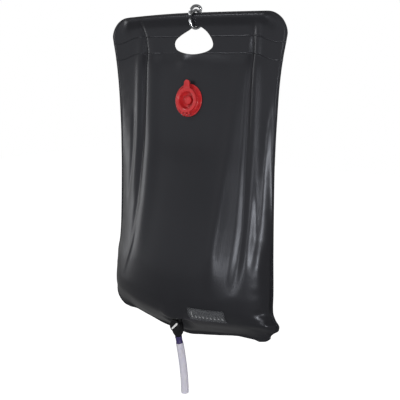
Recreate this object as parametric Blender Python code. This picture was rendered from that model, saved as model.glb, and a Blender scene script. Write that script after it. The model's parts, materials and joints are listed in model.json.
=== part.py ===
"""A black PVC camp shower bag of about 20 litres, hung from a steel S-hook.

The bag is two welded sheets with a rod in the top hem, a red filler on the
front, a temperature strip and a small stopcock with a short hose below.

Metres, +Z up. X runs across the bag, the front faces -Y, and the origin is
where the hook's upper loop rests on what carries it.
"""

import math

import bpy
import bmesh
import numpy as np
from mathutils import Matrix, Vector

# Clearances and stock
GAP = 0.0003
CUT_OVERRUN = 0.002
SHEET = 0.0007
WELD_MARGIN = 0.005

# The hook: its wire, and its centre line between the two loops
WIRE_RADIUS = 0.00275
HOOK_HALF_WIDTH = 0.0105
HOOK_DROP = 0.0393
HOOK_TURN = math.radians(30.0)

# The bag's outline. Its middle hangs a little to one side of the hook.
BAG_SIDE_OFFSET = -0.004
TOP_Z = -0.0086
BAG_HEIGHT = 0.600
HALF_WIDTH = 0.197
TOP_CORNER_RADIUS = 0.036
BOTTOM_CORNER_RADIUS = 0.034
BOTTOM_LIFT_LEFT = 0.017
BOTTOM_LIFT_RIGHT = 0.010

# Weld lines across the bag, below the top edge, and how far they droop
UPPER_WELD_DROP = 0.0425
LOWER_WELD_DROP = 0.073
WELD_DROOP = 0.012
DROOP_START = 0.130
DROOP_RUN = 0.055

# How far each panel bulges when the bag is full, and its forward lean
FRONT_BULGE = 0.073
BACK_BULGE = 0.071
FORWARD_LEAN = 0.005

# The rod in the top hem
ROD_RADIUS = 0.004
ROD_LENGTH = 0.278
ROD_DROP = 0.008
ROD_ROOM = 0.005
HEM_SPREAD = 0.010
HEM_FADE_START = 0.150
HEM_FADE_RUN = 0.018

# The handle hole
HOLE_HALF_WIDTH = 0.0435
HOLE_HEIGHT = 0.0495
HOLE_CUT_DEPTH = 0.030

# The filler
FLANGE_RADIUS = 0.030
FLANGE_THICKNESS = 0.0018
NECK_RADIUS = 0.021
NECK_WALL = 0.0027
NECK_RISE = 0.005
NECK_DEPTH = 0.008
CAP_RADIUS = 0.023
CAP_THICKNESS = 0.003
PLUG_TAPER = 0.0016
PLUG_DEPTH = 0.011
PLUG_WALL = 0.002
PLUG_FLOOR = 0.002
BOSS_RADIUS = 0.0075
BOSS_HEIGHT = 0.006
TAB_LENGTH = 0.014
TAB_WIDTH = 0.0135
TAB_THICKNESS = 0.0028
FILLER_TILT = math.radians(6.0)
FILLER_FLAT = 0.044
FILLER_BLEND = 0.030
CAP_HINGE_RADIUS = 0.027
KNUCKLE_RADIUS = 0.0026
KNUCKLE_WIDTH = 0.0036
HINGE_PIN_RADIUS = 0.0010
BRACKET_DEPTH = 0.0036
ARM_LOW_SHARE = 0.25
ARM_HIGH_SHARE = 0.95

# The temperature strip and its window on the front
STRIP_WIDTH = 0.076
STRIP_HEIGHT = 0.0165
STRIP_THICKNESS = 0.0005
WINDOW_EDGE = 0.0035
WINDOW_THICKNESS = 0.0005
STRIP_CENTRE_X = 0.067
STRIP_CENTRE_DROP = 0.5425

# The stopcock, measured from the axis of its plug
PORT_RADIUS = 0.0046
PORT_BORE_RADIUS = 0.0022
BODY_RADIUS = 0.0115
BODY_HALF_DEPTH = 0.0048
BODY_FLANGE_RADIUS = 0.009
BODY_FLANGE_THICKNESS = 0.002
BODY_FLANGE_HEIGHT = 0.0129
WASHER_THICKNESS = 0.0012
NUT_THICKNESS = 0.005
NUT_RADIUS = 0.009
OUTLET_FLAT = 0.0165
OUTLET_BLEND = 0.012
CHEEK_DEPTH_SHARE = 0.90
TAPER_TOP_DROP = 0.0131
TAPER_TOP_RADIUS = 0.0073
COLLAR_DROP = 0.021
COLLAR_RADIUS = 0.0063
COLLAR_LENGTH = 0.0134
BARB_RADIUS = 0.0041
PLUG_CORE_RADIUS = 0.0066
KNOB_RADIUS = 0.0125
KNOB_THICKNESS = 0.004
POINTER_LENGTH = 0.0185
POINTER_WIDTH = 0.0036
POINTER_HEIGHT = 0.0016
POINTER_SLOT = 0.0008
POINTER_ANGLE = math.radians(45.0)
O_RING_SECTION = 0.0005
O_RING_OFFSET = 0.0033
SCREW_RADIUS = 0.0015
SCREW_HEAD_RADIUS = 0.0032
SCREW_HEAD_HEIGHT = 0.0018
SCREW_REACH = 0.0013
SCREW_WASHER_RADIUS = 0.0088
SCREW_WASHER_THICKNESS = 0.0009

# The hose, and where its middle line goes below the collar
HOSE_RADIUS = 0.006
HOSE_DROP = 0.0992
HOSE_SWAY_X = 0.007
HOSE_SWAY_Y = 0.0057
HOSE_POINTS = 6

# Shares of the bag's height and of its half width
RIGHT_SIDE_SHARES = (
    (0.0, 1.0), (0.061, 0.997), (0.086, 0.982), (0.128, 0.956), (0.178, 0.932),
    (0.236, 0.915), (0.303, 0.904), (0.387, 0.890), (0.470, 0.884), (0.571, 0.884),
    (0.721, 0.888), (0.838, 0.893), (0.897, 0.916), (0.947, 0.944), (1.0, 0.940))
LEFT_SIDE_SHARES = (
    (0.0, 1.0), (0.061, 0.999), (0.086, 0.986), (0.128, 0.961), (0.178, 0.939),
    (0.236, 0.921), (0.303, 0.908), (0.387, 0.898), (0.470, 0.896), (0.571, 0.901),
    (0.721, 0.922), (0.838, 0.944), (0.897, 0.952), (0.947, 0.952), (1.0, 0.950))
# Shares of the chamber's height and of a panel's bulge
BULGE_SHARES = (
    (0.0, 0.0), (0.05, 0.09), (0.165, 0.19), (0.30, 0.33), (0.42, 0.52), (0.62, 0.83),
    (0.78, 0.985), (0.84, 1.0), (0.89, 0.94), (0.935, 0.665), (0.970, 0.32), (1.0, 0.0))
FILLER_SHARE = 0.163
OUTLET_SHARE = 0.935
# Across a panel: round near the top of the chamber, fuller near its bottom
TOP_ROUND_SHARE = 0.80
BOTTOM_ROUND_SHARE = 0.55
# Rows of the panels: shares of the top corner, of the band and of the chamber
CORNER_ROW_SHARES = (0.0, 0.05, 0.11, 0.222, 0.345, 0.62, 1.0)
BAND_ROW_SHARES = (0.0, 0.5)
CHAMBER_ROW_SHARES = (
    0.0, 0.015, 0.055, 0.108, 0.163, 0.22, 0.30, 0.39, 0.49, 0.59, 0.69, 0.78, 0.84, 0.89,
    0.915, 0.935, 0.950, 0.965, 0.980, 0.991)
# Columns either side of the middle: shares of the width inside the weld margin
COLUMN_SHARES = (0.052, 0.13, 0.22, 0.34, 0.47, 0.60, 0.72, 0.82, 0.905, 0.97, 1.0)
# The handle hole's outline, clockwise from its peak: shares of its half width and height
HOLE_SHARES = (
    (0.05, 0.0), (0.17, 0.003), (0.42, 0.14), (0.70, 0.27), (0.93, 0.44), (1.0, 0.62), (0.90, 0.80),
    (0.60, 0.92), (0.25, 0.985), (-0.15, 1.0), (-0.60, 0.94), (-0.90, 0.81),
    (-1.0, 0.65), (-0.93, 0.49), (-0.68, 0.35), (-0.28, 0.17), (-0.06, 0.03))
# The hook's centre line: shares of its half width, forwards, and of its drop
HOOK_SHARES = (
    (-0.90, 0.235), (-1.00, 0.110), (-0.72, 0.018), (-0.22, -0.022), (0.33, 0.010),
    (0.80, 0.130), (1.13, 0.275), (1.17, 0.375), (0.92, 0.352), (0.50, 0.262),
    (0.10, 0.196), (-0.30, 0.192), (-0.72, 0.268), (-1.00, 0.400), (-1.06, 0.560),
    (-1.00, 0.760), (-0.78, 0.905), (-0.38, 0.978), (0.03, 1.000), (0.42, 0.970),
    (0.74, 0.880), (0.94, 0.750), (1.02, 0.610))
HOOK_STEPS = 2


def smooth(share):
    share = np.clip(share, 0.0, 1.0)
    return share * share * (3.0 - 2.0 * share)


def curve_through(table):
    """A smooth curve that keeps the rises and falls of its table."""
    places, values = (np.array(column) for column in zip(*table))
    steps = np.diff(places)
    rises = np.diff(values) / steps
    slopes = np.zeros_like(values)
    slopes[0], slopes[-1] = rises[0], rises[-1]
    for i in range(1, len(places) - 1):
        if rises[i - 1] * rises[i] > 0:
            before, after = 2 * steps[i] + steps[i - 1], steps[i] + 2 * steps[i - 1]
            slopes[i] = (before + after) / (before / rises[i - 1] + after / rises[i])

    def value(place):
        place = min(max(place, places[0]), places[-1])
        i = min(max(int(np.searchsorted(places, place)) - 1, 0), len(steps) - 1)
        t = (place - places[i]) / steps[i]
        return ((2 * t ** 3 - 3 * t ** 2 + 1) * values[i]
                + (t ** 3 - 2 * t ** 2 + t) * steps[i] * slopes[i]
                + (-2 * t ** 3 + 3 * t ** 2) * values[i + 1]
                + (t ** 3 - t ** 2) * steps[i] * slopes[i + 1])
    return value


right_side = curve_through(RIGHT_SIDE_SHARES)
left_side = curve_through(LEFT_SIDE_SHARES)
bulge_profile = curve_through(BULGE_SHARES)


# The bag's shape. u runs from -1 to 1 across it, z is a height.

def droop(u):
    return WELD_DROOP * float(smooth((abs(u) * HALF_WIDTH - DROOP_START) / DROOP_RUN))


def lower_weld_z(u):
    return TOP_Z - LOWER_WELD_DROP - droop(u)


def bottom_z(u):
    lift = BOTTOM_LIFT_LEFT if u < 0 else BOTTOM_LIFT_RIGHT
    return TOP_Z - BAG_HEIGHT + lift * float(smooth(abs(u)))


def chamber_share(u, z):
    top = lower_weld_z(u)
    return (top - z) / (top - bottom_z(u) - WELD_MARGIN)


def side_reach(u, z):
    """Half the bag's width at a height, on the side where u is."""
    side = left_side if u < 0 else right_side
    reach = HALF_WIDTH * side((TOP_Z - z) / BAG_HEIGHT)
    below_top = TOP_CORNER_RADIUS - (TOP_Z - z)
    if below_top > 0:
        reach -= TOP_CORNER_RADIUS - math.sqrt(max(TOP_CORNER_RADIUS ** 2 - below_top ** 2, 0.0))
    above_bottom = BOTTOM_CORNER_RADIUS - (z - bottom_z(u))
    if above_bottom > 0:
        inside = max(BOTTOM_CORNER_RADIUS ** 2 - above_bottom ** 2, 0.0)
        reach -= BOTTOM_CORNER_RADIUS - math.sqrt(inside)
    return reach


def lean(z):
    share = (TOP_Z - z) / BAG_HEIGHT
    return -FORWARD_LEAN * float(smooth(share))


def hem_room(x, z):
    """Half the room between the sheets, round the rod in the hem."""
    drop = TOP_Z - z
    room = ROD_ROOM * math.exp(-((drop - ROD_DROP) / HEM_SPREAD) ** 2)
    room *= float(smooth(drop / (ROD_DROP - ROD_RADIUS / 2)))
    return room * (1.0 - float(smooth((abs(x) - HEM_FADE_START) / HEM_FADE_RUN)))


def sheet_room(u, z, front):
    """Half the room between the sheets at a place of the bag."""
    reach = side_reach(u, z)
    x = u * reach
    room = hem_room(x, z)
    share = chamber_share(u, z)
    across = x / (reach - WELD_MARGIN)
    if 0 < share < 1 and abs(across) < 1:
        fullness = float(smooth(2 * share - 1))
        power = TOP_ROUND_SHARE + (BOTTOM_ROUND_SHARE - TOP_ROUND_SHARE) * fullness
        bulge = FRONT_BULGE if front else BACK_BULGE
        room += bulge * bulge_profile(share) * (1 - across ** 2) ** power
    return room


def bag_point(u, z, front):
    """A point on the inner face of a panel, before any fitting flattens it."""
    side = -1.0 if front else 1.0
    y = lean(z) + side * (GAP / 2 + sheet_room(u, z, front))
    return np.array([u * side_reach(u, z), y, z])


def flattened(point, centre, normal, flat, blend):
    """Draws a point near a fitting onto the fitting's plane."""
    away = point - centre
    height = float(away @ normal)
    distance = math.hypot(np.linalg.norm(away - height * normal), height / 2)
    weight = 1.0 - float(smooth((distance - flat) / blend))
    return point - weight * height * normal


def chamber_z(share):
    top = lower_weld_z(0.0)
    return top - share * (top - bottom_z(0.0) - WELD_MARGIN)


FILLER_NORMAL = np.array([0.0, -math.cos(FILLER_TILT), math.sin(FILLER_TILT)])
OUTLET_NORMAL = np.array([0.0, 0.0, -1.0])
FILLER_SEAT = bag_point(0.0, chamber_z(FILLER_SHARE), True)
OUTLET_SEAT = bag_point(0.0, chamber_z(OUTLET_SHARE), True)


def panel_point(u, z, front):
    point = bag_point(u, z, front)
    if front:
        point = flattened(point, FILLER_SEAT, FILLER_NORMAL, FILLER_FLAT, FILLER_BLEND)
        point = flattened(point, OUTLET_SEAT, OUTLET_NORMAL, OUTLET_FLAT, OUTLET_BLEND)
    return point


def panel_columns():
    """Shares across the bag, closer near its sides, with a weld margin each side."""
    inner = 1.0 - WELD_MARGIN / HALF_WIDTH
    half = [inner * share for share in COLUMN_SHARES] + [1.0]
    return [-u for u in reversed(half)] + [0.0] + half


def panel_rows(u):
    """Heights down the bag at one place across it."""
    top = [TOP_Z - share * TOP_CORNER_RADIUS for share in CORNER_ROW_SHARES]
    hem_weld = TOP_Z - UPPER_WELD_DROP - droop(u)
    weld = lower_weld_z(u)
    band = [hem_weld + (weld - hem_weld) * share for share in BAND_ROW_SHARES]
    end = bottom_z(u)
    chamber = [weld + (end + WELD_MARGIN - weld) * share for share in CHAMBER_ROW_SHARES]
    return top + band + chamber + [end + WELD_MARGIN, end]


def grid_normals(grid, towards):
    down = np.gradient(grid, axis=0)
    across = np.gradient(grid, axis=1)
    normals = np.cross(down, across)
    normals /= np.linalg.norm(normals, axis=2, keepdims=True)
    middle = normals[grid.shape[0] // 2, grid.shape[1] // 2]
    return normals if middle @ np.array(towards) > 0 else -normals


# Mesh helpers

def material(name, colour, roughness, metallic=0.0):
    made = bpy.data.materials.new(name)
    made.use_nodes = True
    shader = made.node_tree.nodes["Principled BSDF"]
    shader.inputs["Base Color"].default_value = (*colour, 1.0)
    shader.inputs["Roughness"].default_value = roughness
    shader.inputs["Metallic"].default_value = metallic
    return made


BLACK_PVC = material("black_pvc", (0.020, 0.020, 0.022), 0.35)
BLACK_PLASTIC = material("black_plastic", (0.012, 0.012, 0.014), 0.40)
WHITE_PLASTIC = material("white_plastic", (0.80, 0.80, 0.82), 0.40)
RED_PVC = material("red_pvc", (0.55, 0.03, 0.035), 0.30)
STEEL = material("plated_steel", (0.70, 0.70, 0.72), 0.20, 1.0)
CLEAR_FILM = material("clear_film", (0.30, 0.31, 0.33), 0.15)
STRIP_CARD = material("strip_card", (0.07, 0.07, 0.08), 0.60)
RUBBER = material("rubber", (0.025, 0.025, 0.025), 0.80)
COLLAR_PLASTIC = material("violet_plastic", (0.045, 0.030, 0.130), 0.45)
HOSE_PVC = material("hose_pvc", (0.72, 0.70, 0.82), 0.25)


def add_object(name, bm, look, parent, flat=False):
    """Adds a mesh, given in the bag's or the world's frame, under a parent."""
    bmesh.ops.recalc_face_normals(bm, faces=bm.faces)
    mesh = bpy.data.meshes.new(name)
    bm.to_mesh(mesh)
    bm.free()
    if not flat:
        mesh.shade_smooth()
        mesh.set_sharp_from_angle(angle=math.radians(35.0))
    made = bpy.data.objects.new(name, mesh)
    bpy.context.collection.objects.link(made)
    mesh.materials.append(look)
    if parent is not None:
        made.parent = parent
        made.location = -Vector(parent["place"])
    return made


def add_empty(name, place, parent=None):
    """An empty at a place of its parent's own frame of coordinates."""
    empty = bpy.data.objects.new(name, None)
    bpy.context.collection.objects.link(empty)
    empty["place"] = tuple(place)
    empty.parent = parent
    empty.location = Vector(place) - (Vector(parent["place"]) if parent else Vector())
    return empty


def cutter(host, name, bm, operation="DIFFERENCE", solver="EXACT"):
    """Cuts a shape out of its host, or joins it on."""
    tool = add_object(name, bm, host.data.materials[0], host.parent)
    tool.hide_render = True
    tool.display_type = "WIRE"
    tool.hide_set(True)
    modifier = host.modifiers.new(name, "BOOLEAN")
    modifier.operation = operation
    modifier.solver = solver
    modifier.object = tool


def frame(origin, axis, up):
    """A matrix whose Z is the axis and whose X is level with up."""
    z = Vector(axis).normalized()
    x = Vector(up).cross(z).normalized()
    y = z.cross(x)
    turn = Matrix((x, y, z)).transposed().to_4x4()
    return Matrix.Translation(Vector(origin)) @ turn


def turned(profile, sides, place=None, closed=True):
    """Turns an outline of (radius, height) round Z. Open outlines end on the axis."""
    bm = bmesh.new()
    rings = []
    for radius, height in profile:
        if radius == 0:
            rings.append([bm.verts.new((0, 0, height))] * sides)
            continue
        angles = [2 * math.pi * i / sides for i in range(sides)]
        rings.append([bm.verts.new((radius * math.cos(a), radius * math.sin(a), height))
                      for a in angles])
    pairs = list(zip(rings, rings[1:]))
    if closed:
        pairs.append((rings[-1], rings[0]))
    for low, high in pairs:
        for i in range(sides):
            j = (i + 1) % sides
            corners = []
            for corner in (low[i], low[j], high[j], high[i]):
                if corner not in corners:
                    corners.append(corner)
            if len(corners) > 2:
                bm.faces.new(corners)
    if place is not None:
        bm.transform(place)
    return bm


def rod_mesh(radius, low, high, sides, place=None):
    profile = [(0, low), (radius, low), (radius, high), (0, high)]
    return turned(profile, sides, place, closed=False)


def ring_mesh(inner, outer, low, high, sides, place=None):
    profile = [(inner, low), (outer, low), (outer, high), (inner, high)]
    return turned(profile, sides, place)


def block(size, centre, place=None):
    bm = bmesh.new()
    bmesh.ops.create_cube(bm, size=1.0)
    bm.transform(Matrix.Translation(Vector(centre)) @ Matrix.Diagonal((*size, 1.0)))
    if place is not None:
        bm.transform(place)
    return bm


def prism(outline, low, high, place=None):
    """A closed outline of (x, y), raised from low to high."""
    bm = bmesh.new()
    base = [bm.verts.new((x, y, low)) for x, y in outline]
    face = bm.faces.new(base)
    grown = bmesh.ops.extrude_face_region(bm, geom=[face])
    tops = [item for item in grown["geom"] if isinstance(item, bmesh.types.BMVert)]
    bmesh.ops.translate(bm, verts=tops, vec=(0, 0, high - low))
    if place is not None:
        bm.transform(place)
    return bm


def slab_between(inner, outer):
    """A closed sheet between two grids of points that have the same shape."""
    bm = bmesh.new()
    rows, columns, _ = inner.shape
    sheets = [[[bm.verts.new(grid[i, j]) for j in range(columns)] for i in range(rows)]
              for grid in (inner, outer)]
    near, far = sheets
    for i in range(rows - 1):
        for j in range(columns - 1):
            for sheet in sheets:
                bm.faces.new((sheet[i][j], sheet[i][j + 1], sheet[i + 1][j + 1], sheet[i + 1][j]))
    rim = [(0, j) for j in range(columns)]
    rim += [(i, columns - 1) for i in range(1, rows)]
    rim += [(rows - 1, j) for j in range(columns - 2, -1, -1)]
    rim += [(i, 0) for i in range(rows - 2, 0, -1)]
    for (i, j), (k, m) in zip(rim, rim[1:] + rim[:1]):
        bm.faces.new((near[i][j], near[k][m], far[k][m], far[i][j]))
    return bm


def closed_curve(points, steps):
    """A smooth closed curve through points, as more points."""
    made = []
    count = len(points)
    for i in range(count):
        before, start, end, after = (np.array(points[(i + k) % count]) for k in (-1, 0, 1, 2))
        for step in range(steps):
            made.append(spline_point(before, start, end, after, step / steps))
    return made


def open_curve(points, steps):
    """A smooth curve from the first point to the last, as more points."""
    points = [np.array(point) for point in points]
    ends = [2 * points[0] - points[1]] + points + [2 * points[-1] - points[-2]]
    made = []
    for i in range(len(points) - 1):
        for step in range(steps):
            made.append(spline_point(*ends[i:i + 4], step / steps))
    return made + [points[-1]]


def spline_point(before, start, end, after, t):
    return 0.5 * (2 * start + (end - before) * t
                  + (2 * before - 5 * start + 4 * end - after) * t ** 2
                  + (3 * start - 3 * end + after - before) * t ** 3)


def tube(path, radius, sides, round_ends):
    """A tube of round section along a path, with flat or rounded ends."""
    path = [Vector(point) for point in path]
    ahead = [(path[min(i + 1, len(path) - 1)] - path[max(i - 1, 0)]).normalized()
             for i in range(len(path))]
    stations = [(point, way, 1.0) for point, way in zip(path, ahead)]
    if round_ends:
        dome_shares = ((0.5, 0.866), (0.866, 0.5))
        for reach, size in dome_shares:
            stations.insert(0, (path[0] - ahead[0] * radius * reach, ahead[0], size))
            stations.append((path[-1] + ahead[-1] * radius * reach, ahead[-1], size))
    bm = bmesh.new()
    side = ahead[0].orthogonal().normalized()
    rings = []
    for centre, way, size in stations:
        side = (side - way * side.dot(way)).normalized()
        other = way.cross(side)
        angles = [2 * math.pi * i / sides for i in range(sides)]
        rings.append([bm.verts.new(centre + (side * math.cos(a) + other * math.sin(a)) * radius * size)
                      for a in angles])
    for low, high in zip(rings, rings[1:]):
        for i in range(sides):
            j = (i + 1) % sides
            bm.faces.new((low[i], low[j], high[j], high[i]))
    bm.faces.new(rings[0])
    bm.faces.new(rings[-1])
    return bm


# The pieces

def make_hook():
    """The steel S-hook, turned a little from square to the bag."""
    forward = np.array([-math.sin(HOOK_TURN), -math.cos(HOOK_TURN), 0.0])
    top = np.array([0.0, 0.0, WIRE_RADIUS])
    points = [top + forward * HOOK_HALF_WIDTH * across - np.array([0, 0, HOOK_DROP * down])
              for across, down in HOOK_SHARES]
    points = open_curve(points, HOOK_STEPS)
    add_object("s_hook", tube(points, WIRE_RADIUS, 10, True), STEEL, None)


def hook_low_z():
    """The top of the wire where it carries the bag."""
    lowest = max(down for _, down in HOOK_SHARES)
    return WIRE_RADIUS - HOOK_DROP * lowest + WIRE_RADIUS


def make_panel(name, front, parent):
    us = panel_columns()
    columns = [[panel_point(u, z, front) for z in panel_rows(u)] for u in us]
    inner = np.array(columns).transpose(1, 0, 2)
    outwards = (0.0, -1.0 if front else 1.0, 0.0)
    outer = inner + SHEET * grid_normals(inner, outwards)
    panel = add_object(name, slab_between(inner, outer), BLACK_PVC, parent)
    cutter(panel, name + "_handle_cut", handle_cut(), "DIFFERENCE")
    return panel


def handle_cut():
    peak = hook_low_z() + GAP
    outline = [(across * HOLE_HALF_WIDTH, peak - down * HOLE_HEIGHT)
               for across, down in HOLE_SHARES]
    place = frame((0, 0, 0), (0, -1, 0), (0, 0, 1))
    return prism(closed_curve(outline, 2), -HOLE_CUT_DEPTH, HOLE_CUT_DEPTH, place)


def make_rod(parent):
    place = frame((0, lean(TOP_Z - ROD_DROP), TOP_Z - ROD_DROP), (1, 0, 0), (0, 0, 1))
    chamfer = ROD_RADIUS / 4
    half = ROD_LENGTH / 2
    profile = [(0, -half), (ROD_RADIUS - chamfer, -half), (ROD_RADIUS, -half + chamfer),
               (ROD_RADIUS, half - chamfer), (ROD_RADIUS - chamfer, half), (0, half)]
    add_object("handle_rod", turned(profile, 16, place, closed=False), BLACK_PLASTIC, parent)


def filler_place():
    """The filler's frame: Z points out of the bag, from the panel's outer face."""
    origin = FILLER_SEAT + FILLER_NORMAL * (SHEET + GAP)
    return frame(origin, FILLER_NORMAL, (0, 0, 1))


def hinge_height():
    return FLANGE_THICKNESS + NECK_RISE


def hinge_lug(index, place, arm):
    """A round knuckle on the hinge axis with its arm, given as (across, height) corners."""
    centre = Vector(((index - 2) * (KNUCKLE_WIDTH + GAP), -CAP_HINGE_RADIUS, hinge_height()))
    start = math.atan2(arm[0][1], arm[0][0])
    end = math.atan2(arm[-1][1], arm[-1][0])
    sweep = (start - end) % (2 * math.pi)
    count = 12
    outline = list(arm)
    for i in range(1, count):
        angle = end + sweep * i / count
        outline.append((KNUCKLE_RADIUS * math.cos(angle), KNUCKLE_RADIUS * math.sin(angle)))
    lay = place @ Matrix.Translation(centre) @ Matrix(
        ((0, 0, 1, 0), (1, 0, 0, 0), (0, 1, 0, 0), (0, 0, 0, 1)))
    return prism(outline, -KNUCKLE_WIDTH / 2, KNUCKLE_WIDTH / 2, lay)


def pin_cut(place):
    centre = Vector((0, -CAP_HINGE_RADIUS, hinge_height()))
    lay = place @ Matrix.Translation(centre) @ Matrix.Rotation(math.pi / 2, 4, "Y")
    reach = 2.5 * (KNUCKLE_WIDTH + GAP) + CUT_OVERRUN
    return rod_mesh(HINGE_PIN_RADIUS + GAP, -reach, reach, 12, lay)


def make_filler_base(parent):
    place = filler_place()
    rim = FLANGE_THICKNESS + NECK_RISE
    bore = NECK_RADIUS - NECK_WALL
    edge = FLANGE_THICKNESS / 3
    foot = -(SHEET + GAP + NECK_DEPTH)
    profile = [(bore, foot), (NECK_RADIUS, foot), (NECK_RADIUS, 0), (FLANGE_RADIUS - edge, 0),
               (FLANGE_RADIUS, edge), (FLANGE_RADIUS - edge, FLANGE_THICKNESS),
               (NECK_RADIUS, FLANGE_THICKNESS), (NECK_RADIUS, rim), (bore, rim)]
    base = add_object("filler_base", turned(profile, 32, place), RED_PVC, parent)
    half = BRACKET_DEPTH / 2
    shoulder = -math.sqrt(KNUCKLE_RADIUS ** 2 - half ** 2)
    root = FLANGE_THICKNESS / 2 - hinge_height()
    bracket = [(-half, shoulder), (-half, root), (half, root), (half, shoulder)]
    for index in (1, 3):
        cutter(base, "filler_base_lug_%d" % index, hinge_lug(index, place, bracket), "UNION")
    cutter(base, "filler_base_pin_cut", pin_cut(place))
    return base


def make_filler_cap(parent):
    place = filler_place()
    under = hinge_height() + GAP
    top = under + CAP_THICKNESS
    plug = NECK_RADIUS - NECK_WALL - GAP
    tip = plug - PLUG_TAPER
    floor = under - PLUG_DEPTH
    edge = CAP_THICKNESS / 4
    hollow = plug - PLUG_WALL
    profile = [(0, floor), (tip, floor), (plug, under), (CAP_RADIUS - edge, under),
               (CAP_RADIUS, under + edge), (CAP_RADIUS, top - edge), (CAP_RADIUS - edge, top),
               (hollow, top), (tip - PLUG_WALL, floor + PLUG_FLOOR),
               (BOSS_RADIUS, floor + PLUG_FLOOR), (BOSS_RADIUS - edge, floor + PLUG_FLOOR + BOSS_HEIGHT),
               (0, floor + PLUG_FLOOR + BOSS_HEIGHT)]
    cap = add_object("filler_cap", turned(profile, 32, place, closed=False), RED_PVC, parent)
    reach = CAP_RADIUS + TAB_LENGTH
    corner = TAB_WIDTH / 3
    half = TAB_WIDTH / 2
    root = CAP_RADIUS - CUT_OVERRUN
    tab = [(-half, root), (half, root), (half, reach - corner), (half - corner, reach),
           (-half + corner, reach), (-half, reach - corner)]
    low = under + (CAP_THICKNESS - TAB_THICKNESS) / 2
    cutter(cap, "filler_cap_tab", prism(tab, low, low + TAB_THICKNESS, place), "UNION")
    arm_reach = CAP_HINGE_RADIUS - CAP_RADIUS + 2 * CUT_OVERRUN
    arm_low, arm_high = KNUCKLE_RADIUS * ARM_LOW_SHARE, KNUCKLE_RADIUS * ARM_HIGH_SHARE
    arm = [(math.sqrt(KNUCKLE_RADIUS ** 2 - arm_low ** 2), arm_low), (arm_reach, arm_low),
           (arm_reach, arm_high), (math.sqrt(KNUCKLE_RADIUS ** 2 - arm_high ** 2), arm_high)]
    for index in (0, 2, 4):
        cutter(cap, "filler_cap_lug_%d" % index, hinge_lug(index, place, arm[::-1]), "UNION")
    cutter(cap, "filler_cap_pin_cut", pin_cut(place))
    return cap


def make_hinge_pin(parent):
    place = filler_place()
    centre = Vector((0, -CAP_HINGE_RADIUS, hinge_height()))
    lay = place @ Matrix.Translation(centre) @ Matrix.Rotation(math.pi / 2, 4, "Y")
    reach = 2.5 * KNUCKLE_WIDTH + 2 * GAP
    add_object("cap_hinge_pin", rod_mesh(HINGE_PIN_RADIUS, -reach, reach, 12, lay), STEEL, parent)


def front_face_point(x, z, offset):
    """A point above the outer face of the front panel."""
    def point(px, pz):
        return panel_point(px / side_reach(math.copysign(1.0, px), pz), pz, True)
    step = STRIP_HEIGHT / 8
    across = point(x + step, z) - point(x - step, z)
    up = point(x, z + step) - point(x, z - step)
    normal = np.cross(across, up)
    normal /= np.linalg.norm(normal)
    return point(x, z) + normal * (SHEET + offset)


def patch_lines(length, count, edge):
    """Places of a patch's grid lines from its middle, with one more past each edge."""
    lines = [length * (i / count - 0.5) for i in range(count + 1)]
    if edge > 0:
        lines = [lines[0] - edge] + lines + [lines[-1] + edge]
    return lines


def make_patch(name, edge, low, thickness, look, parent):
    """A thin piece that follows the front panel, at the temperature strip's place."""
    middle = TOP_Z - STRIP_CENTRE_DROP
    grids = []
    for offset in (low, low + thickness):
        grid = [[front_face_point(STRIP_CENTRE_X + x, middle - z, offset)
                 for x in patch_lines(STRIP_WIDTH, 10, edge)]
                for z in patch_lines(STRIP_HEIGHT, 3, edge)]
        grids.append(np.array(grid))
    add_object(name, slab_between(*grids), look, parent)


def make_strip(parent):
    seat = 2 * GAP
    make_patch("temperature_strip", 0.0, seat, STRIP_THICKNESS, STRIP_CARD, parent)
    cover = seat + STRIP_THICKNESS + GAP
    make_patch("strip_window", WINDOW_EDGE, cover, WINDOW_THICKNESS, CLEAR_FILM, parent)


# The stopcock's plug axis runs along Y through this point.
WASHER_FACE = BODY_FLANGE_HEIGHT + BODY_FLANGE_THICKNESS + GAP
PANEL_FACE = WASHER_FACE + WASHER_THICKNESS + GAP
PLUG_CENTRE = OUTLET_SEAT - np.array([0.0, 0.0, PANEL_FACE + SHEET])
PLUG_BORE_RADIUS = PLUG_CORE_RADIUS + GAP
KNOB_BACK = -BODY_HALF_DEPTH - GAP
INNER_WASHER_FACE = PANEL_FACE + SHEET + GAP
NUT_FACE = INNER_WASHER_FACE + WASHER_THICKNESS + GAP


def upright():
    return Matrix.Translation(Vector(PLUG_CENTRE))


def plug_place():
    """Z points back along the plug's axis, from the knob to the screw."""
    return upright() @ Matrix.Rotation(-math.pi / 2, 4, "X")


def make_washers_and_nut(parent):
    hole = PORT_RADIUS + GAP
    place = upright()
    add_object("outlet_washer", ring_mesh(hole, BODY_FLANGE_RADIUS, WASHER_FACE,
               WASHER_FACE + WASHER_THICKNESS, 24, place), RUBBER, parent)
    add_object("inner_washer", ring_mesh(hole, BODY_FLANGE_RADIUS, INNER_WASHER_FACE,
               INNER_WASHER_FACE + WASHER_THICKNESS, 24, place), RUBBER, parent)
    corners = [(NUT_RADIUS * math.cos(math.pi * i / 3), NUT_RADIUS * math.sin(math.pi * i / 3))
               for i in range(6)]
    nut = add_object("outlet_nut", prism(corners, NUT_FACE, NUT_FACE + NUT_THICKNESS, place),
                     BLACK_PLASTIC, parent)
    cutter(nut, "outlet_nut_bore", rod_mesh(hole, NUT_FACE - CUT_OVERRUN,
           NUT_FACE + NUT_THICKNESS + CUT_OVERRUN, 24, place))


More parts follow.
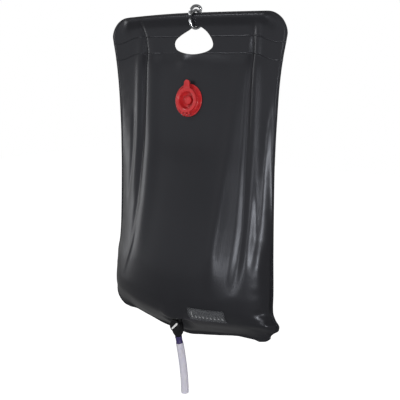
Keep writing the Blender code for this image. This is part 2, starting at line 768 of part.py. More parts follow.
def make_tap_body(parent):
    place = upright()
    across = plug_place()
    body = add_object("tap_body", rod_mesh(BODY_RADIUS, -BODY_HALF_DEPTH, BODY_HALF_DEPTH, 32,
                      across), BLACK_PLASTIC, parent)
    waist = TAPER_TOP_RADIUS
    low = -(TAPER_TOP_DROP + COLLAR_DROP) / 2
    cheek_share = 0.3
    cheek = BODY_RADIUS * math.cos(cheek_share)
    side = BODY_RADIUS * math.sin(cheek_share)
    outline = [(cheek, side), (-cheek, side), (-cheek, -side), (-waist, low), (waist, low),
               (cheek, -side)]
    flat = [(x, -z) for x, z in outline]
    depth = BODY_HALF_DEPTH * CHEEK_DEPTH_SHARE
    cutter(body, "tap_body_cheeks", prism(flat, -depth, depth, across), "UNION", "MANIFOLD")
    top = NUT_FACE + NUT_THICKNESS + CUT_OVERRUN
    end = -(COLLAR_DROP + COLLAR_LENGTH - CUT_OVERRUN)
    foot = -COLLAR_DROP + GAP
    profile = [(0, end), (BARB_RADIUS, end), (BARB_RADIUS, foot), (COLLAR_RADIUS, foot),
               (waist, -TAPER_TOP_DROP), (PORT_RADIUS, -TAPER_TOP_DROP),
               (PORT_RADIUS, BODY_FLANGE_HEIGHT), (BODY_FLANGE_RADIUS, BODY_FLANGE_HEIGHT),
               (BODY_FLANGE_RADIUS, BODY_FLANGE_HEIGHT + BODY_FLANGE_THICKNESS),
               (PORT_RADIUS, BODY_FLANGE_HEIGHT + BODY_FLANGE_THICKNESS),
               (PORT_RADIUS, top), (0, top)]
    cutter(body, "tap_body_ports", turned(profile, 24, place, closed=False), "UNION", "MANIFOLD")
    reach = BODY_HALF_DEPTH + CUT_OVERRUN
    cutter(body, "tap_body_plug_bore", rod_mesh(PLUG_BORE_RADIUS, -reach, reach, 32, across),
           solver="MANIFOLD")
    water_way = rod_mesh(PORT_BORE_RADIUS, end - CUT_OVERRUN, top + CUT_OVERRUN, 16, place)
    cutter(body, "tap_body_water_way", water_way, solver="MANIFOLD")


def make_plug(parent):
    place = plug_place()
    tail = BODY_HALF_DEPTH - GAP
    groove = O_RING_SECTION + GAP
    floor = PLUG_CORE_RADIUS - 2 * O_RING_SECTION - GAP
    face = KNOB_BACK - KNOB_THICKNESS
    edge = KNOB_THICKNESS / 5
    profile = [(0, face), (KNOB_RADIUS - edge, face), (KNOB_RADIUS, face + edge),
               (KNOB_RADIUS, KNOB_BACK), (PLUG_CORE_RADIUS, KNOB_BACK)]
    for middle in (-O_RING_OFFSET, O_RING_OFFSET):
        profile += [(PLUG_CORE_RADIUS, middle - groove), (floor, middle - groove),
                    (floor, middle + groove), (PLUG_CORE_RADIUS, middle + groove)]
    profile += [(PLUG_CORE_RADIUS, tail), (0, tail)]
    plug = add_object("tap_plug", turned(profile, 32, place, closed=False), BLACK_PLASTIC, parent)
    tilted = place @ Matrix.Rotation(-POINTER_ANGLE, 4, "Z")
    reach = PLUG_CORE_RADIUS + CUT_OVERRUN
    port = tilted @ Matrix.Rotation(math.pi / 2, 4, "Y")
    cutter(plug, "tap_plug_water_way", rod_mesh(PORT_BORE_RADIUS, -reach, reach, 16, port),
           solver="MANIFOLD")
    screw_hole = rod_mesh(SCREW_RADIUS + GAP, tail - SCREW_REACH, tail + CUT_OVERRUN, 16, place)
    cutter(plug, "tap_plug_screw_hole", screw_hole, solver="MANIFOLD")
    size = (POINTER_LENGTH + 2 * GAP, POINTER_WIDTH + 2 * GAP, POINTER_SLOT + GAP + CUT_OVERRUN)
    centre = (0, 0, face + (POINTER_SLOT + GAP - CUT_OVERRUN) / 2)
    cutter(plug, "tap_plug_pointer_slot", block(size, centre, tilted), solver="MANIFOLD")
    low = face + POINTER_SLOT - POINTER_HEIGHT
    size = (POINTER_LENGTH, POINTER_WIDTH, POINTER_HEIGHT)
    add_object("tap_pointer", block(size, (0, 0, low + POINTER_HEIGHT / 2), tilted),
               WHITE_PLASTIC, parent)


def make_o_rings(parent):
    """A ring in each groove, either side of the plug's water way."""
    place = plug_place()
    middle_radius = PLUG_CORE_RADIUS - O_RING_SECTION
    for name, offset in (("plug_o_ring_front", -O_RING_OFFSET), ("plug_o_ring_rear", O_RING_OFFSET)):
        profile = [(middle_radius + O_RING_SECTION * math.cos(math.pi * i / 3),
                    offset + O_RING_SECTION * math.sin(math.pi * i / 3)) for i in range(6)]
        add_object(name, turned(profile, 24, place), RUBBER, parent)


def make_screw(parent):
    place = plug_place()
    face = BODY_HALF_DEPTH + GAP
    hole = SCREW_RADIUS + GAP
    add_object("plug_washer", ring_mesh(hole, SCREW_WASHER_RADIUS, face,
               face + SCREW_WASHER_THICKNESS, 24, place), STEEL, parent)
    seat = face + SCREW_WASHER_THICKNESS + GAP
    tip = BODY_HALF_DEPTH - SCREW_REACH
    crown = seat + SCREW_HEAD_HEIGHT
    profile = [(0, tip), (SCREW_RADIUS, tip), (SCREW_RADIUS, seat), (SCREW_HEAD_RADIUS, seat),
               (SCREW_HEAD_RADIUS, seat + SCREW_HEAD_HEIGHT / 2),
               (SCREW_HEAD_RADIUS * 2 / 3, crown), (0, crown)]
    screw = add_object("plug_screw", turned(profile, 16, place, closed=False), STEEL, parent)
    depth = SCREW_HEAD_HEIGHT / 2
    size = (3 * SCREW_HEAD_RADIUS, SCREW_RADIUS / 2, depth * 2)
    cutter(screw, "plug_screw_slot", block(size, (0, 0, crown + depth / 4), place))


def make_collar(parent):
    place = upright()
    top = -COLLAR_DROP
    low = top - COLLAR_LENGTH
    edge = (COLLAR_RADIUS - BARB_RADIUS) / 4
    bore = BARB_RADIUS + GAP
    profile = [(bore, low), (COLLAR_RADIUS - edge, low), (COLLAR_RADIUS, low + edge),
               (COLLAR_RADIUS, top - edge), (COLLAR_RADIUS - edge, top), (bore, top)]
    add_object("hose_collar", turned(profile, 24, place), COLLAR_PLASTIC, parent)


def hose_route():
    """Straight out of the collar, then a slight sway as the soft tube hangs."""
    start = PLUG_CENTRE - np.array([0.0, 0.0, COLLAR_DROP + COLLAR_LENGTH + GAP])
    points = []
    for i in range(HOSE_POINTS):
        t = i / (HOSE_POINTS - 1)
        sway = t ** 1.35
        points.append(start + np.array([HOSE_SWAY_X * sway, HOSE_SWAY_Y * sway, -HOSE_DROP * t]))
    return points


def make_hose(parent):
    curve = bpy.data.curves.new("water_hose", "CURVE")
    curve.dimensions = "3D"
    curve.bevel_depth = HOSE_RADIUS
    curve.bevel_resolution = 3
    curve.use_fill_caps = True
    spline = curve.splines.new("POLY")
    route = hose_route()
    spline.points.add(len(route) - 1)
    for point, place in zip(spline.points, route):
        point.co = (*place, 1.0)
    hose = bpy.data.objects.new("water_hose", curve)
    bpy.context.collection.objects.link(hose)
    curve.materials.append(HOSE_PVC)
    hose.parent = parent
    hose.location = -Vector(parent["place"])


def cut_fitting_holes(panel):
    """The holes in the front panel for the filler's neck and the stopcock's port."""
    place = filler_place()
    reach = SHEET + GAP + CUT_OVERRUN
    cutter(panel, "front_panel_filler_cut",
           rod_mesh(NECK_RADIUS + GAP, -reach, CUT_OVERRUN, 32, place))
    cutter(panel, "front_panel_outlet_cut",
           rod_mesh(PORT_RADIUS + GAP, PANEL_FACE - CUT_OVERRUN, PANEL_FACE + SHEET + CUT_OVERRUN,
                    24, upright()))


def main():
    for old in list(bpy.data.objects):
        bpy.data.objects.remove(old, do_unlink=True)
    make_hook()
    bag_origin = add_empty("bag_middle", (0, 0, 0))
    bag_origin.location = (BAG_SIDE_OFFSET, 0, 0)
    swing = add_empty("bag_swing_axis", (0, 0, hook_low_z() + GAP), bag_origin)
    front = make_panel("front_panel", True, swing)
    cut_fitting_holes(front)
    make_panel("back_panel", False, swing)
    make_rod(swing)
    make_filler_base(swing)
    make_hinge_pin(swing)
    hinge = filler_place() @ Vector((0, -CAP_HINGE_RADIUS, hinge_height()))
    make_filler_cap(add_empty("cap_hinge_axis", hinge, swing))
    make_strip(swing)
    make_washers_and_nut(swing)
    make_tap_body(swing)
    knob_axis = add_empty("plug_axis", PLUG_CENTRE, swing)
    make_plug(knob_axis)
    make_o_rings(knob_axis)
    make_screw(knob_axis)
    make_collar(swing)
    make_hose(swing)


main()
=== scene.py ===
"""The looks of the camp shower bag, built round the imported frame.

Metres, in the frame's own axes: X across the bag, its front faces -Y, +Z up.
"""

import json
import math

import bmesh
import bpy
import numpy as np
from mathutils import Matrix, Vector


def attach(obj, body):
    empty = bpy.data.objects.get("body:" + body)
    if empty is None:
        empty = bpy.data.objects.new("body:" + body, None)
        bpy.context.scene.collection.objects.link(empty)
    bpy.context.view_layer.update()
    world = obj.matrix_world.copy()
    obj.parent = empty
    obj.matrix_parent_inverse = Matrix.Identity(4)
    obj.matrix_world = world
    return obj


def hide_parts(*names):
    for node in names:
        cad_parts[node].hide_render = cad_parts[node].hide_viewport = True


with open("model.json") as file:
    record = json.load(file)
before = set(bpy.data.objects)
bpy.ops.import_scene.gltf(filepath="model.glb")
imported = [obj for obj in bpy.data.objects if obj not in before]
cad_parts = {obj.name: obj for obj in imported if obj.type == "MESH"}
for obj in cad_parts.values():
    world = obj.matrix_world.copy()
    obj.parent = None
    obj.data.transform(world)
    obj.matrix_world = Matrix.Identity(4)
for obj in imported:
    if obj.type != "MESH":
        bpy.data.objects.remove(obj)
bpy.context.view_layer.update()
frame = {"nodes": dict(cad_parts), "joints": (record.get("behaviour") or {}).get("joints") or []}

# Clearances and stock, how far cutters reach, and how finely round shapes are made
GAP = 0.0003
SHEET = 0.0007
WELD_MARGIN = 0.005
BAG_X = -0.004
CUT_ROOM = 0.002
CUT_REACH = 0.003
SIDES = 64
SMALL_SIDES = 48
BORE_SIDES = 32
CURVE_STEPS = 5
END_POINTS = 9

# The camera: where it stands, how it is turned and its field of view. The pixels are the photo's.
CAMERA_PLACE = (0.8953, -1.2378, -0.0882)
FOCAL_PIXELS = 820.0
ASIDE_PIXELS = 6.1
HORIZON_PIXELS = 143.0
CAMERA_AZIMUTH = math.radians(36.0) - math.atan(ASIDE_PIXELS / FOCAL_PIXELS)
CAMERA_PITCH = math.atan(HORIZON_PIXELS / FOCAL_PIXELS)
CAMERA_LENS = 73.8

# The hook
WIRE_RADIUS = 0.00275
WIRE_END_STEP = 0.3
WIRE_END_SHARES = (0.38, 0.71, 0.92, 1.0)
WIRE_TIP = 0.02
WIRE_SIDES = 28
WIRE_STEPS = 7
HOOK_HALF_WIDTH = 0.0105
HOOK_DROP = 0.0393
HOOK_TURN = math.radians(30.0)
HOOK_SHARES = (
    (-0.9, 0.235), (-1.00, 0.11), (-0.72, 0.018), (-0.22, -0.022), (0.33, 0.01),
    (0.78, 0.13), (1.05, 0.275), (1.08, 0.375), (0.88, 0.352), (0.5, 0.262),
    (0.1, 0.196), (-0.3, 0.192), (-0.72, 0.268), (-1.00, 0.4), (-1.06, 0.56),
    (-1.00, 0.76), (-0.78, 0.905), (-0.38, 0.978), (0.03, 1.000), (0.42, 0.97),
    (0.74, 0.88), (0.94, 0.75), (1.02, 0.61))

# The bag's outline and fullness
TOP_Z = -0.0086
BAG_HEIGHT = 0.600
HALF_WIDTH = 0.197
TOP_CORNER_RADIUS = 0.042
TOP_SAG_LEFT = 0.0052
TOP_SAG_RIGHT = 0.0012
BOTTOM_CORNER_RADIUS = 0.034
BOTTOM_RISE = 0.020
UPPER_WELD_DROP = 0.0425
LOWER_WELD_DROP = 0.073
WELD_DROOP = 0.012
DROOP_START = 0.130
DROOP_RUN = 0.055
FRONT_BULGE = 0.073
BACK_BULGE = 0.071
FORWARD_LEAN = 0.005
ROD_RADIUS = 0.004
ROD_DROP = 0.008
ROD_ROOM = 0.005
HEM_SPREAD = 0.010
HEM_FADE_START = 0.150
HEM_FADE_RUN = 0.018
RIGHT_SIDE_SHARES = (
    (0.0, 1.0), (0.061, 0.998), (0.086, 0.986), (0.128, 0.961), (0.178, 0.938),
    (0.236, 0.921), (0.303, 0.91), (0.387, 0.899), (0.47, 0.894), (0.571, 0.896),
    (0.721, 0.902), (0.838, 0.91), (0.87, 0.908), (0.89, 0.911), (0.912, 0.938),
    (0.931, 0.979), (0.944, 0.974), (0.956, 0.934), (0.965, 0.92), (0.977, 0.94), (1.0, 0.935))
LEFT_SIDE_SHARES = (
    (0.0, 1.0), (0.061, 0.999), (0.086, 0.986), (0.128, 0.961), (0.178, 0.939),
    (0.236, 0.921), (0.303, 0.908), (0.387, 0.898), (0.47, 0.896), (0.571, 0.9),
    (0.634, 0.905), (0.683, 0.911), (0.731, 0.925), (0.779, 0.955), (0.838, 0.967),
    (0.87, 0.972), (0.924, 0.972), (0.972, 0.96), (1.0, 0.95))
BOTTOM_SHARES = (
    (-1.0, 0.88), (-0.92, 0.87), (-0.73, 0.515), (-0.63, 0.315), (-0.53, 0.09), (-0.437, -0.08),
    (-0.338, -0.19), (-0.04, -0.5), (0.146, -0.305), (0.245, -0.195), (0.338, -0.08),
    (0.437, 0.04), (0.53, 0.168), (0.63, 0.295), (0.73, 0.37), (0.92, 0.37), (1.0, 0.27))
BULGE_SHARES = (
    (0.0, 0.0), (0.05, 0.09), (0.165, 0.19), (0.3, 0.33), (0.42, 0.52), (0.62, 0.83),
    (0.78, 0.985), (0.84, 1.0), (0.89, 0.94), (0.935, 0.665), (0.97, 0.32), (1.0, 0.0))
TOP_ROUND_SHARE = 0.80
BOTTOM_ROUND_SHARE = 0.55
# A plumper place low on the front's right half
PLUMP_SHARE = 0.17
PLUMP_Z = -0.452
PLUMP_HEIGHT = 0.075

# The handle hole
HOLE_HALF_WIDTH = 0.0435
HOLE_HEIGHT = 0.0495
HOLE_CUT = 0.03
HOLE_STEPS = 8
HOLE_SHARES = (
    (0.05, 0.0), (0.2, 0.0), (0.33, 0.005), (0.52, 0.088), (0.73, 0.23), (0.91, 0.43),
    (1.0, 0.64), (0.93, 0.79), (0.66, 0.915), (0.25, 0.99), (-0.15, 1.0), (-0.6, 0.94),
    (-0.9, 0.83), (-1.0, 0.65), (-0.93, 0.48), (-0.66, 0.31), (-0.25, 0.13), (-0.06, 0.03))

# The filler
FLANGE_RADIUS = 0.030
FLANGE_THICKNESS = 0.0018
NECK_RADIUS = 0.021
NECK_WALL = 0.0027
NECK_RISE = 0.005
NECK_DEPTH = 0.008
CAP_RADIUS = 0.023
CAP_THICKNESS = 0.003
PLUG_TAPER = 0.0016
PLUG_DEPTH = 0.011
PLUG_WALL = 0.002
BOSS_RADIUS = 0.0075
TAB_LENGTH = 0.014
TAB_WIDTH = 0.0135
TAB_THICKNESS = 0.0028
FLANGE_LIP = 0.0022
FLANGE_LIP_SLOPE = 0.0010
FLANGE_NECK_SLOPE = 0.0012
FLANGE_DISH_SHARE = 0.62
FLANGE_ROUNDING = 0.0007
CAP_ROUNDING = 0.0008
CAP_BEVEL = 0.00035
CAP_FLOOR = 0.002
BOSS_HEIGHT = 0.006
DISH_LIP = ((0.0022, 0.0), (0.0012, -0.0009), (0.0, -0.0010))
DISH_TAPER = 0.0009
DISH_RISE = 0.0035
DISH_FOOT = 0.0010
BOSS_FLARE = 0.0004
BOSS_TOP = ((1.0, 0.0), (0.55, 0.0005), (0.0, 0.0006))
TAB_OVERLAP = 0.003
TAB_ROOT = 0.006
TAB_SHARES = (1.12, 0.92)
LUG_HALF_WIDTH = 0.0018
ARM_SHARES = (0.25, 0.95)
ARM_OVERLAP = 0.004
FILLER_SIDES = 96
FILLER_TILT = math.radians(6.0)
FILLER_FLAT = 0.034
FILLER_BLEND = 0.085
CAP_HINGE_RADIUS = 0.027
KNUCKLE_RADIUS = 0.0026
KNUCKLE_WIDTH = 0.0036
KNUCKLE_STEPS = 20

# The temperature strip
STRIP_WIDTH = 0.063
STRIP_HEIGHT = 0.018
STRIP_COLUMNS = 30
STRIP_ROWS = 8
STRIP_THICKNESS = 0.0005
WINDOW_EDGE = 0.0030
WINDOW_THICKNESS = 0.0005
STRIP_X = 0.0735
STRIP_Z = -0.5511
# Its plain marks: each a rise from the strip's foot, a width and a height
MARK_COUNT = 9
MARK_START = 0.6
MARK_SINK = 0.0001
MARK_STAND = 0.00012
DOT = (0.0035, 0.0026, 0.0022)
TICK = (0.0066, 0.0007, 0.0012)
SIDE_BAR = (0.0095, 0.0014, 0.0080)
SIDE_BAR_X = 0.0042

# The stopcock, from the axis of its plug. Its bowl is given as heights and radii.
PORT_RADIUS = 0.0046
PORT_BORE_RADIUS = 0.0022
BODY_RADIUS = 0.0115
BOWL_SHARES = (
    (0.0, 0.52), (0.10, 0.64), (0.27, 0.83), (0.45, 0.94), (0.65, 1.0), (1.0, 1.0))
BODY_HALF_DEPTH = 0.0048
BODY_FLANGE_RADIUS = 0.009
BODY_FLANGE_THICKNESS = 0.002
BODY_FLANGE_HEIGHT = 0.0129
WASHER_THICKNESS = 0.0012
OUTLET_FLAT = 0.0150
OUTLET_BLEND = 0.022
COLLAR_DROP = 0.0220
COLLAR_RADIUS = 0.0067
COLLAR_LENGTH = 0.0134
BARB_RADIUS = 0.0041
PLUG_CORE_RADIUS = 0.0066
KNOB_RADIUS = 0.0120
KNOB_THICKNESS = 0.004
POINTER_LENGTH = 0.0185
POINTER_WIDTH = 0.0036
POINTER_HEIGHT = 0.0016
POINTER_SLOT = 0.0008
POINTER_ANGLE = math.radians(45.0)
POINTER_TAPER = 0.80
POINTER_BEVEL = 0.0005
TAP_BEVEL = 0.0004
PORT_LENGTH = 0.007
BALL_END = math.acos(-0.65)
BALL_POINTS = 22
KNOB_DOME = 0.0003
KNOB_FLAT_SHARE = 0.80
KNOB_ROUNDING = 0.0009
BORE_REACH = 0.02
SCREW_RADIUS = 0.0018
SCREW_DEPTH = 0.0013
COLLAR_BAND = 0.0022
COLLAR_SLOPE = 0.0006
COLLAR_STEP = 0.0004
COLLAR_ROUNDING = 0.0006

# The hose: what it measures, and its route's ends
HOSE_DIAMETER = 0.0148
HOSE_BORE = 0.0110
HOSE_DROP = 0.1000
HOSE_SWAY = 0.0098
HOSE_BEND = 1.8
HOSE_LEGS = 5
HOSE_HEADING = math.radians(39.0)
HOSE_LIP = 0.94
HOSE_SIDES = 40


def smooth(share):
    share = np.clip(share, 0.0, 1.0)
    return share * share * (3.0 - 2.0 * share)


def bell(distance, width):
    return np.exp(-(distance / width) ** 2)


class Curve:
    """A smooth curve that keeps the rises and falls of its table."""

    def __init__(self, table):
        self.places, self.values = np.array(table, float).T
        self.steps = np.diff(self.places)
        rises = np.diff(self.values) / self.steps
        self.slopes = np.zeros_like(self.values)
        self.slopes[0], self.slopes[-1] = rises[0], rises[-1]
        for i in range(1, len(self.places) - 1):
            if rises[i - 1] * rises[i] > 0:
                before = 2 * self.steps[i] + self.steps[i - 1]
                after = self.steps[i] + 2 * self.steps[i - 1]
                self.slopes[i] = (before + after) / (before / rises[i - 1] + after / rises[i])

    def __call__(self, place):
        place = np.clip(place, self.places[0], self.places[-1])
        i = np.clip(np.searchsorted(self.places, place) - 1, 0, len(self.steps) - 1)
        t = (place - self.places[i]) / self.steps[i]
        rise = self.values[i + 1] - self.values[i]
        bend = t * (1 - t) * ((1 - t) * self.slopes[i] - t * self.slopes[i + 1])
        return self.values[i] + smooth(t) * rise + self.steps[i] * bend


right_side = Curve(RIGHT_SIDE_SHARES)
left_side = Curve(LEFT_SIDE_SHARES)
bulge_profile = Curve(BULGE_SHARES)
bottom_rise = Curve(BOTTOM_SHARES)


# The bag's shape. u runs from -1 to 1 across it, z is a height.

def top_z(u):
    """The rod bends a little under the load, so the top edge sags to both sides."""
    return TOP_Z - np.where(u < 0, TOP_SAG_LEFT, TOP_SAG_RIGHT) * u ** 2


def weld_z(u, drop):
    droop = WELD_DROOP * smooth((np.abs(u) * HALF_WIDTH - DROOP_START) / DROOP_RUN)
    return TOP_Z - drop - droop


def bottom_z(u):
    return TOP_Z - BAG_HEIGHT + BOTTOM_RISE * bottom_rise(u)


def chamber_share(u, z):
    top = weld_z(u, LOWER_WELD_DROP)
    return (top - z) / (top - bottom_z(u) - WELD_MARGIN)


def side_reach(u, z):
    """Half the bag's width at a height, on the side where u is."""
    share = (TOP_Z - z) / BAG_HEIGHT
    reach = HALF_WIDTH * np.where(u < 0, left_side(share), right_side(share))
    corners = ((TOP_CORNER_RADIUS, top_z(u) - z), (BOTTOM_CORNER_RADIUS, z - bottom_z(u)))
    for radius, away in corners:
        rise = np.clip(radius - away, 0.0, radius)
        reach = reach - radius + np.sqrt(radius ** 2 - rise ** 2)
    return reach


def hem_room(u, x, z):
    """Half the room between the sheets, round the rod in the hem."""
    drop = top_z(u) - z
    room = ROD_ROOM * bell(drop - ROD_DROP, HEM_SPREAD)
    room *= smooth(drop / (ROD_DROP - ROD_RADIUS / 2))
    return room * (1.0 - smooth((np.abs(x) - HEM_FADE_START) / HEM_FADE_RUN))


def sheet_room(u, z, front):
    """Half the room between the sheets at a place of the bag."""
    reach = side_reach(u, z)
    x = u * reach
    share = chamber_share(u, z)
    across = np.clip(np.abs(x) / np.maximum(reach - WELD_MARGIN, WELD_MARGIN), 0.0, 1.0)
    fullness = smooth(2 * share - 1)
    power = TOP_ROUND_SHARE + (BOTTOM_ROUND_SHARE - TOP_ROUND_SHARE) * fullness
    if front:
        power = power - np.where(u > 0, PLUMP_SHARE * bell(z - PLUMP_Z, PLUMP_HEIGHT), 0.0)
    bulge = (FRONT_BULGE if front else BACK_BULGE) * bulge_profile(np.clip(share, 0.0, 1.0))
    inside = (share > 0) & (share < 1)
    return hem_room(u, x, z) + np.where(inside, bulge * (1 - across ** 2) ** power, 0.0)


def flattened(points, centre, normal, flat, blend):
    """Draws points near a fitting onto the fitting's plane."""
    away = points - centre
    height = away @ normal
    level = np.linalg.norm(away - height[..., None] * normal, axis=-1)
    weight = 1.0 - smooth((np.hypot(level, height / 2) - flat) / blend)
    return points - (weight * height)[..., None] * normal


# The folds. Each row is a drop, a place across, a height and a width. Between the hem and the
# chamber, both sheets go along with the front one's folds.
FOLD_SHARES = (
    ((0.03, -0.633, 0.0, 0.5), (0.05, -0.62, -0.45, 0.45), (0.085, -0.588, -0.9, 0.45),
     (0.12, -0.574, -1.0, 0.5), (0.21, -0.562, -0.95, 0.5), (0.353, -0.55, -0.9, 0.55),
     (0.51, -0.54, -0.85, 0.6), (0.6, -0.54, -0.65, 0.65), (0.69, -0.552, -0.35, 0.8),
     (0.76, -0.562, 0.0, 0.9)),
    ((0.07, -0.496, 0.0, 1.6), (0.12, -0.481, 0.35, 1.4), (0.21, -0.456, 0.8, 1.5),
     (0.325, -0.435, 1.0, 1.6), (0.48, -0.414, 1.15, 1.7), (0.577, -0.407, 1.1, 1.8),
     (0.667, -0.422, 0.75, 1.9), (0.735, -0.437, 0.35, 2.0), (0.8, -0.456, 0.0, 2.0)),
    ((0.08, -0.643, 0.0, 0.9), (0.14, -0.638, 0.35, 0.9), (0.2, -0.635, 0.55, 0.85),
     (0.3, -0.63, 0.6, 0.85), (0.41, -0.625, 0.6, 0.8), (0.53, -0.63, 0.4, 0.8),
     (0.61, -0.638, 0.0, 0.8)),
    ((0.05, 0.671, 0.0, 0.5), (0.085, 0.657, -0.6, 0.5), (0.12, 0.645, -0.9, 0.5),
     (0.155, 0.642, -0.9, 0.5), (0.26, 0.634, -0.9, 0.55), (0.467, 0.64, -0.85, 0.6),
     (0.572, 0.65, -0.85, 0.6), (0.667, 0.66, -0.85, 0.65), (0.733, 0.655, -0.85, 0.75),
     (0.787, 0.645, -0.7, 0.9), (0.85, 0.63, 0.0, 1.0)),
    ((0.035, 0.707, 0.0, 0.7), (0.06, 0.702, 0.5, 0.7), (0.12, 0.697, 0.75, 0.75),
     (0.213, 0.697, 0.7, 0.8), (0.33, 0.7, 0.5, 0.8), (0.42, 0.705, 0.35, 0.7),
     (0.53, 0.715, 0.35, 0.6), (0.657, 0.728, 0.35, 0.6), (0.74, 0.73, 0.25, 0.6),
     (0.787, 0.725, 0.0, 0.6)),
    ((0.12, 0.559, 0.0, 1.6), (0.2, 0.539, 0.35, 1.5), (0.29, 0.508, 0.6, 1.5),
     (0.395, 0.486, 0.75, 1.5), (0.485, 0.468, 0.9, 1.4), (0.605, 0.453, 1.0, 1.3),
     (0.727, 0.432, 0.9, 1.3), (0.775, 0.432, 0.55, 1.4), (0.858, 0.422, 0.0, 1.5)),
    ((0.27, 0.86, 0.0, 1.4), (0.36, 0.85, 0.6, 1.5), (0.48, 0.845, 0.9, 1.5),
     (0.6, 0.85, 0.7, 1.4), (0.69, 0.86, 0.0, 1.4)),
    ((0.3, -0.699, 0.0, 0.6), (0.355, -0.697, -0.38, 0.6), (0.473, -0.687, -0.38, 0.6),
     (0.578, -0.709, -0.25, 0.6), (0.642, -0.725, 0.0, 0.6)),
    ((0.608, -0.501, 0.0, 0.3), (0.653, -0.521, 0.3, 0.3), (0.717, -0.552, 0.4, 0.32),
     (0.763, -0.588, 0.38, 0.35), (0.807, -0.64, 0.25, 0.4), (0.847, -0.684, 0.0, 0.5)),
    ((0.542, 0.762, 0.0, 0.5), (0.61, 0.768, -0.3, 0.5), (0.708, 0.775, -0.3, 0.5),
     (0.743, 0.775, -0.2, 0.5), (0.783, 0.775, 0.0, 0.5)),
)
# Rounder swells: a place across, a drop, half a width and height, and how far it stands out.
# Only the first of them is on the back too.
SWELL_SHARES = (
    (-0.08, 0.165, 0.07, 0.024, 1.6), (0.85, 0.757, 0.085, 0.055, 0.9),
    (0.924, 0.933, 0.066, 0.025, 1.6), (0.86, 0.905, 0.05, 0.01, -0.9),
    (0.8, 0.958, 0.07, 0.008, -0.5), (-0.812, 0.05, 0.066, 0.02, 0.35),
    (0.843, 0.045, 0.066, 0.02, 0.45))
FOLD_HEIGHT = 0.004
FOLD_WIDTH = 0.010
FOLD_EDGE_FADE = 0.012
FOLD_FITTING_FADE = 0.020
BAND_START = 0.013
BAND_FADE = 0.016
CHAMBER_FADE_SHARE = 0.14
# Puckers beside the side welds, as waves with a pace, a height and a lag
PUCKER_DEPTH = 0.00012
PUCKER_WAVES = ((190, 1.0, 1.0), (317, 0.6, 2.1), (83, 0.5, 0.0))
PUCKER_PLACE = 0.014
PUCKER_SPREAD = 0.009
PUCKER_ONSETS = (12, 20)
FRONT_PHASE = 0.7
BACK_PHASE = 2.9
OUTLET_CALM = 0.020
CALM_BLEND = 0.020
HOOK_CALM_DROP = 0.020
HOOK_CALM = 0.024
HOOK_CALM_BLEND = 0.016
# Weld beads, and the sheets' mesh beside and between them
BEAD_HEIGHT = 0.0005
BEAD_WIDTH = 0.00055
BEAD_STEPS = (-3.0, -1.2, 0.0, 1.2, 3.0)
BAND_ROOM = 4
CHAMBER_ROOM = 5
HALF_COLUMNS = 74
SINE_SHARE = 0.35
CORNER_ROWS = 22
CORNER_REACH = 0.94
CORNER_SHARE = 0.98
HEM_ROWS = 7
BAND_ROWS = 14
CHAMBER_ROWS = 190
RIM_SHARE = 0.995
NORMAL_STEP = 0.0006


def fold_field(x, z, swells):
    """How far the sheet stands out at places of the bag's own plane."""
    across, drop = x / HALF_WIDTH, -z / BAG_HEIGHT
    stand = np.zeros_like(across)
    for table in FOLD_SHARES:
        rows = np.array(table, float)
        place, height, width = (Curve(rows[:, (0, k)])(drop) for k in (1, 2, 3))
        inside = (drop > rows[0, 0]) & (drop < rows[-1, 0])
        away = bell(across - place, width * FOLD_WIDTH / HALF_WIDTH)
        stand += np.where(inside, height * away, 0.0)
    for middle, low, width, height, rise in swells:
        stand += rise * bell(across - middle, width) * bell(drop - low, height)
    return stand * FOLD_HEIGHT


def joint_place(name):
    joint = next(joint for joint in frame["joints"] if joint["name"] == name)
    return np.array(joint["pos_m"], float)


# The fittings sit where the frame has them: the filler at its hinge, the stopcock at its plug.
HINGE_HEIGHT = FLANGE_THICKNESS + NECK_RISE
FILLER_NORMAL = np.array([0.0, -math.cos(FILLER_TILT), math.sin(FILLER_TILT)])
FILLER_UP = np.array([0.0, math.sin(FILLER_TILT), math.cos(FILLER_TILT)])
BAG_ORIGIN = np.array([BAG_X, 0.0, 0.0])
FILLER_SEAT = joint_place("filler_cap_hinge") - BAG_ORIGIN + FILLER_UP * CAP_HINGE_RADIUS
FILLER_SEAT -= FILLER_NORMAL * (SHEET + GAP + HINGE_HEIGHT)
PANEL_FACE = (BODY_FLANGE_HEIGHT + BODY_FLANGE_THICKNESS + GAP) + WASHER_THICKNESS + GAP
PLUG_CENTRE = joint_place("tap_turn")
OUTLET_NORMAL = np.array([0.0, 0.0, -1.0])
OUTLET_SEAT = PLUG_CENTRE - BAG_ORIGIN - OUTLET_NORMAL * (PANEL_FACE + SHEET)


def off_strip(x, z):
    away = np.hypot(
        np.maximum(np.abs(x - STRIP_X) - STRIP_WIDTH / 2 - 2 * WINDOW_EDGE, 0.0),
        np.maximum(np.abs(z - STRIP_Z) - STRIP_HEIGHT / 2 - WINDOW_EDGE, 0.0))
    return smooth(away / FOLD_FITTING_FADE)


def fold_stand(u, z, front):
    """How far the folds lift a panel at places of the bag."""
    reach = side_reach(u, z)
    x = u * reach
    stand = fold_field(x, z, SWELL_SHARES) if front else fold_field(-x, z, SWELL_SHARES[:1])
    edge = (1 - np.abs(u)) * reach - WELD_MARGIN
    return stand * smooth(edge / FOLD_EDGE_FADE) * off_strip(x, z)


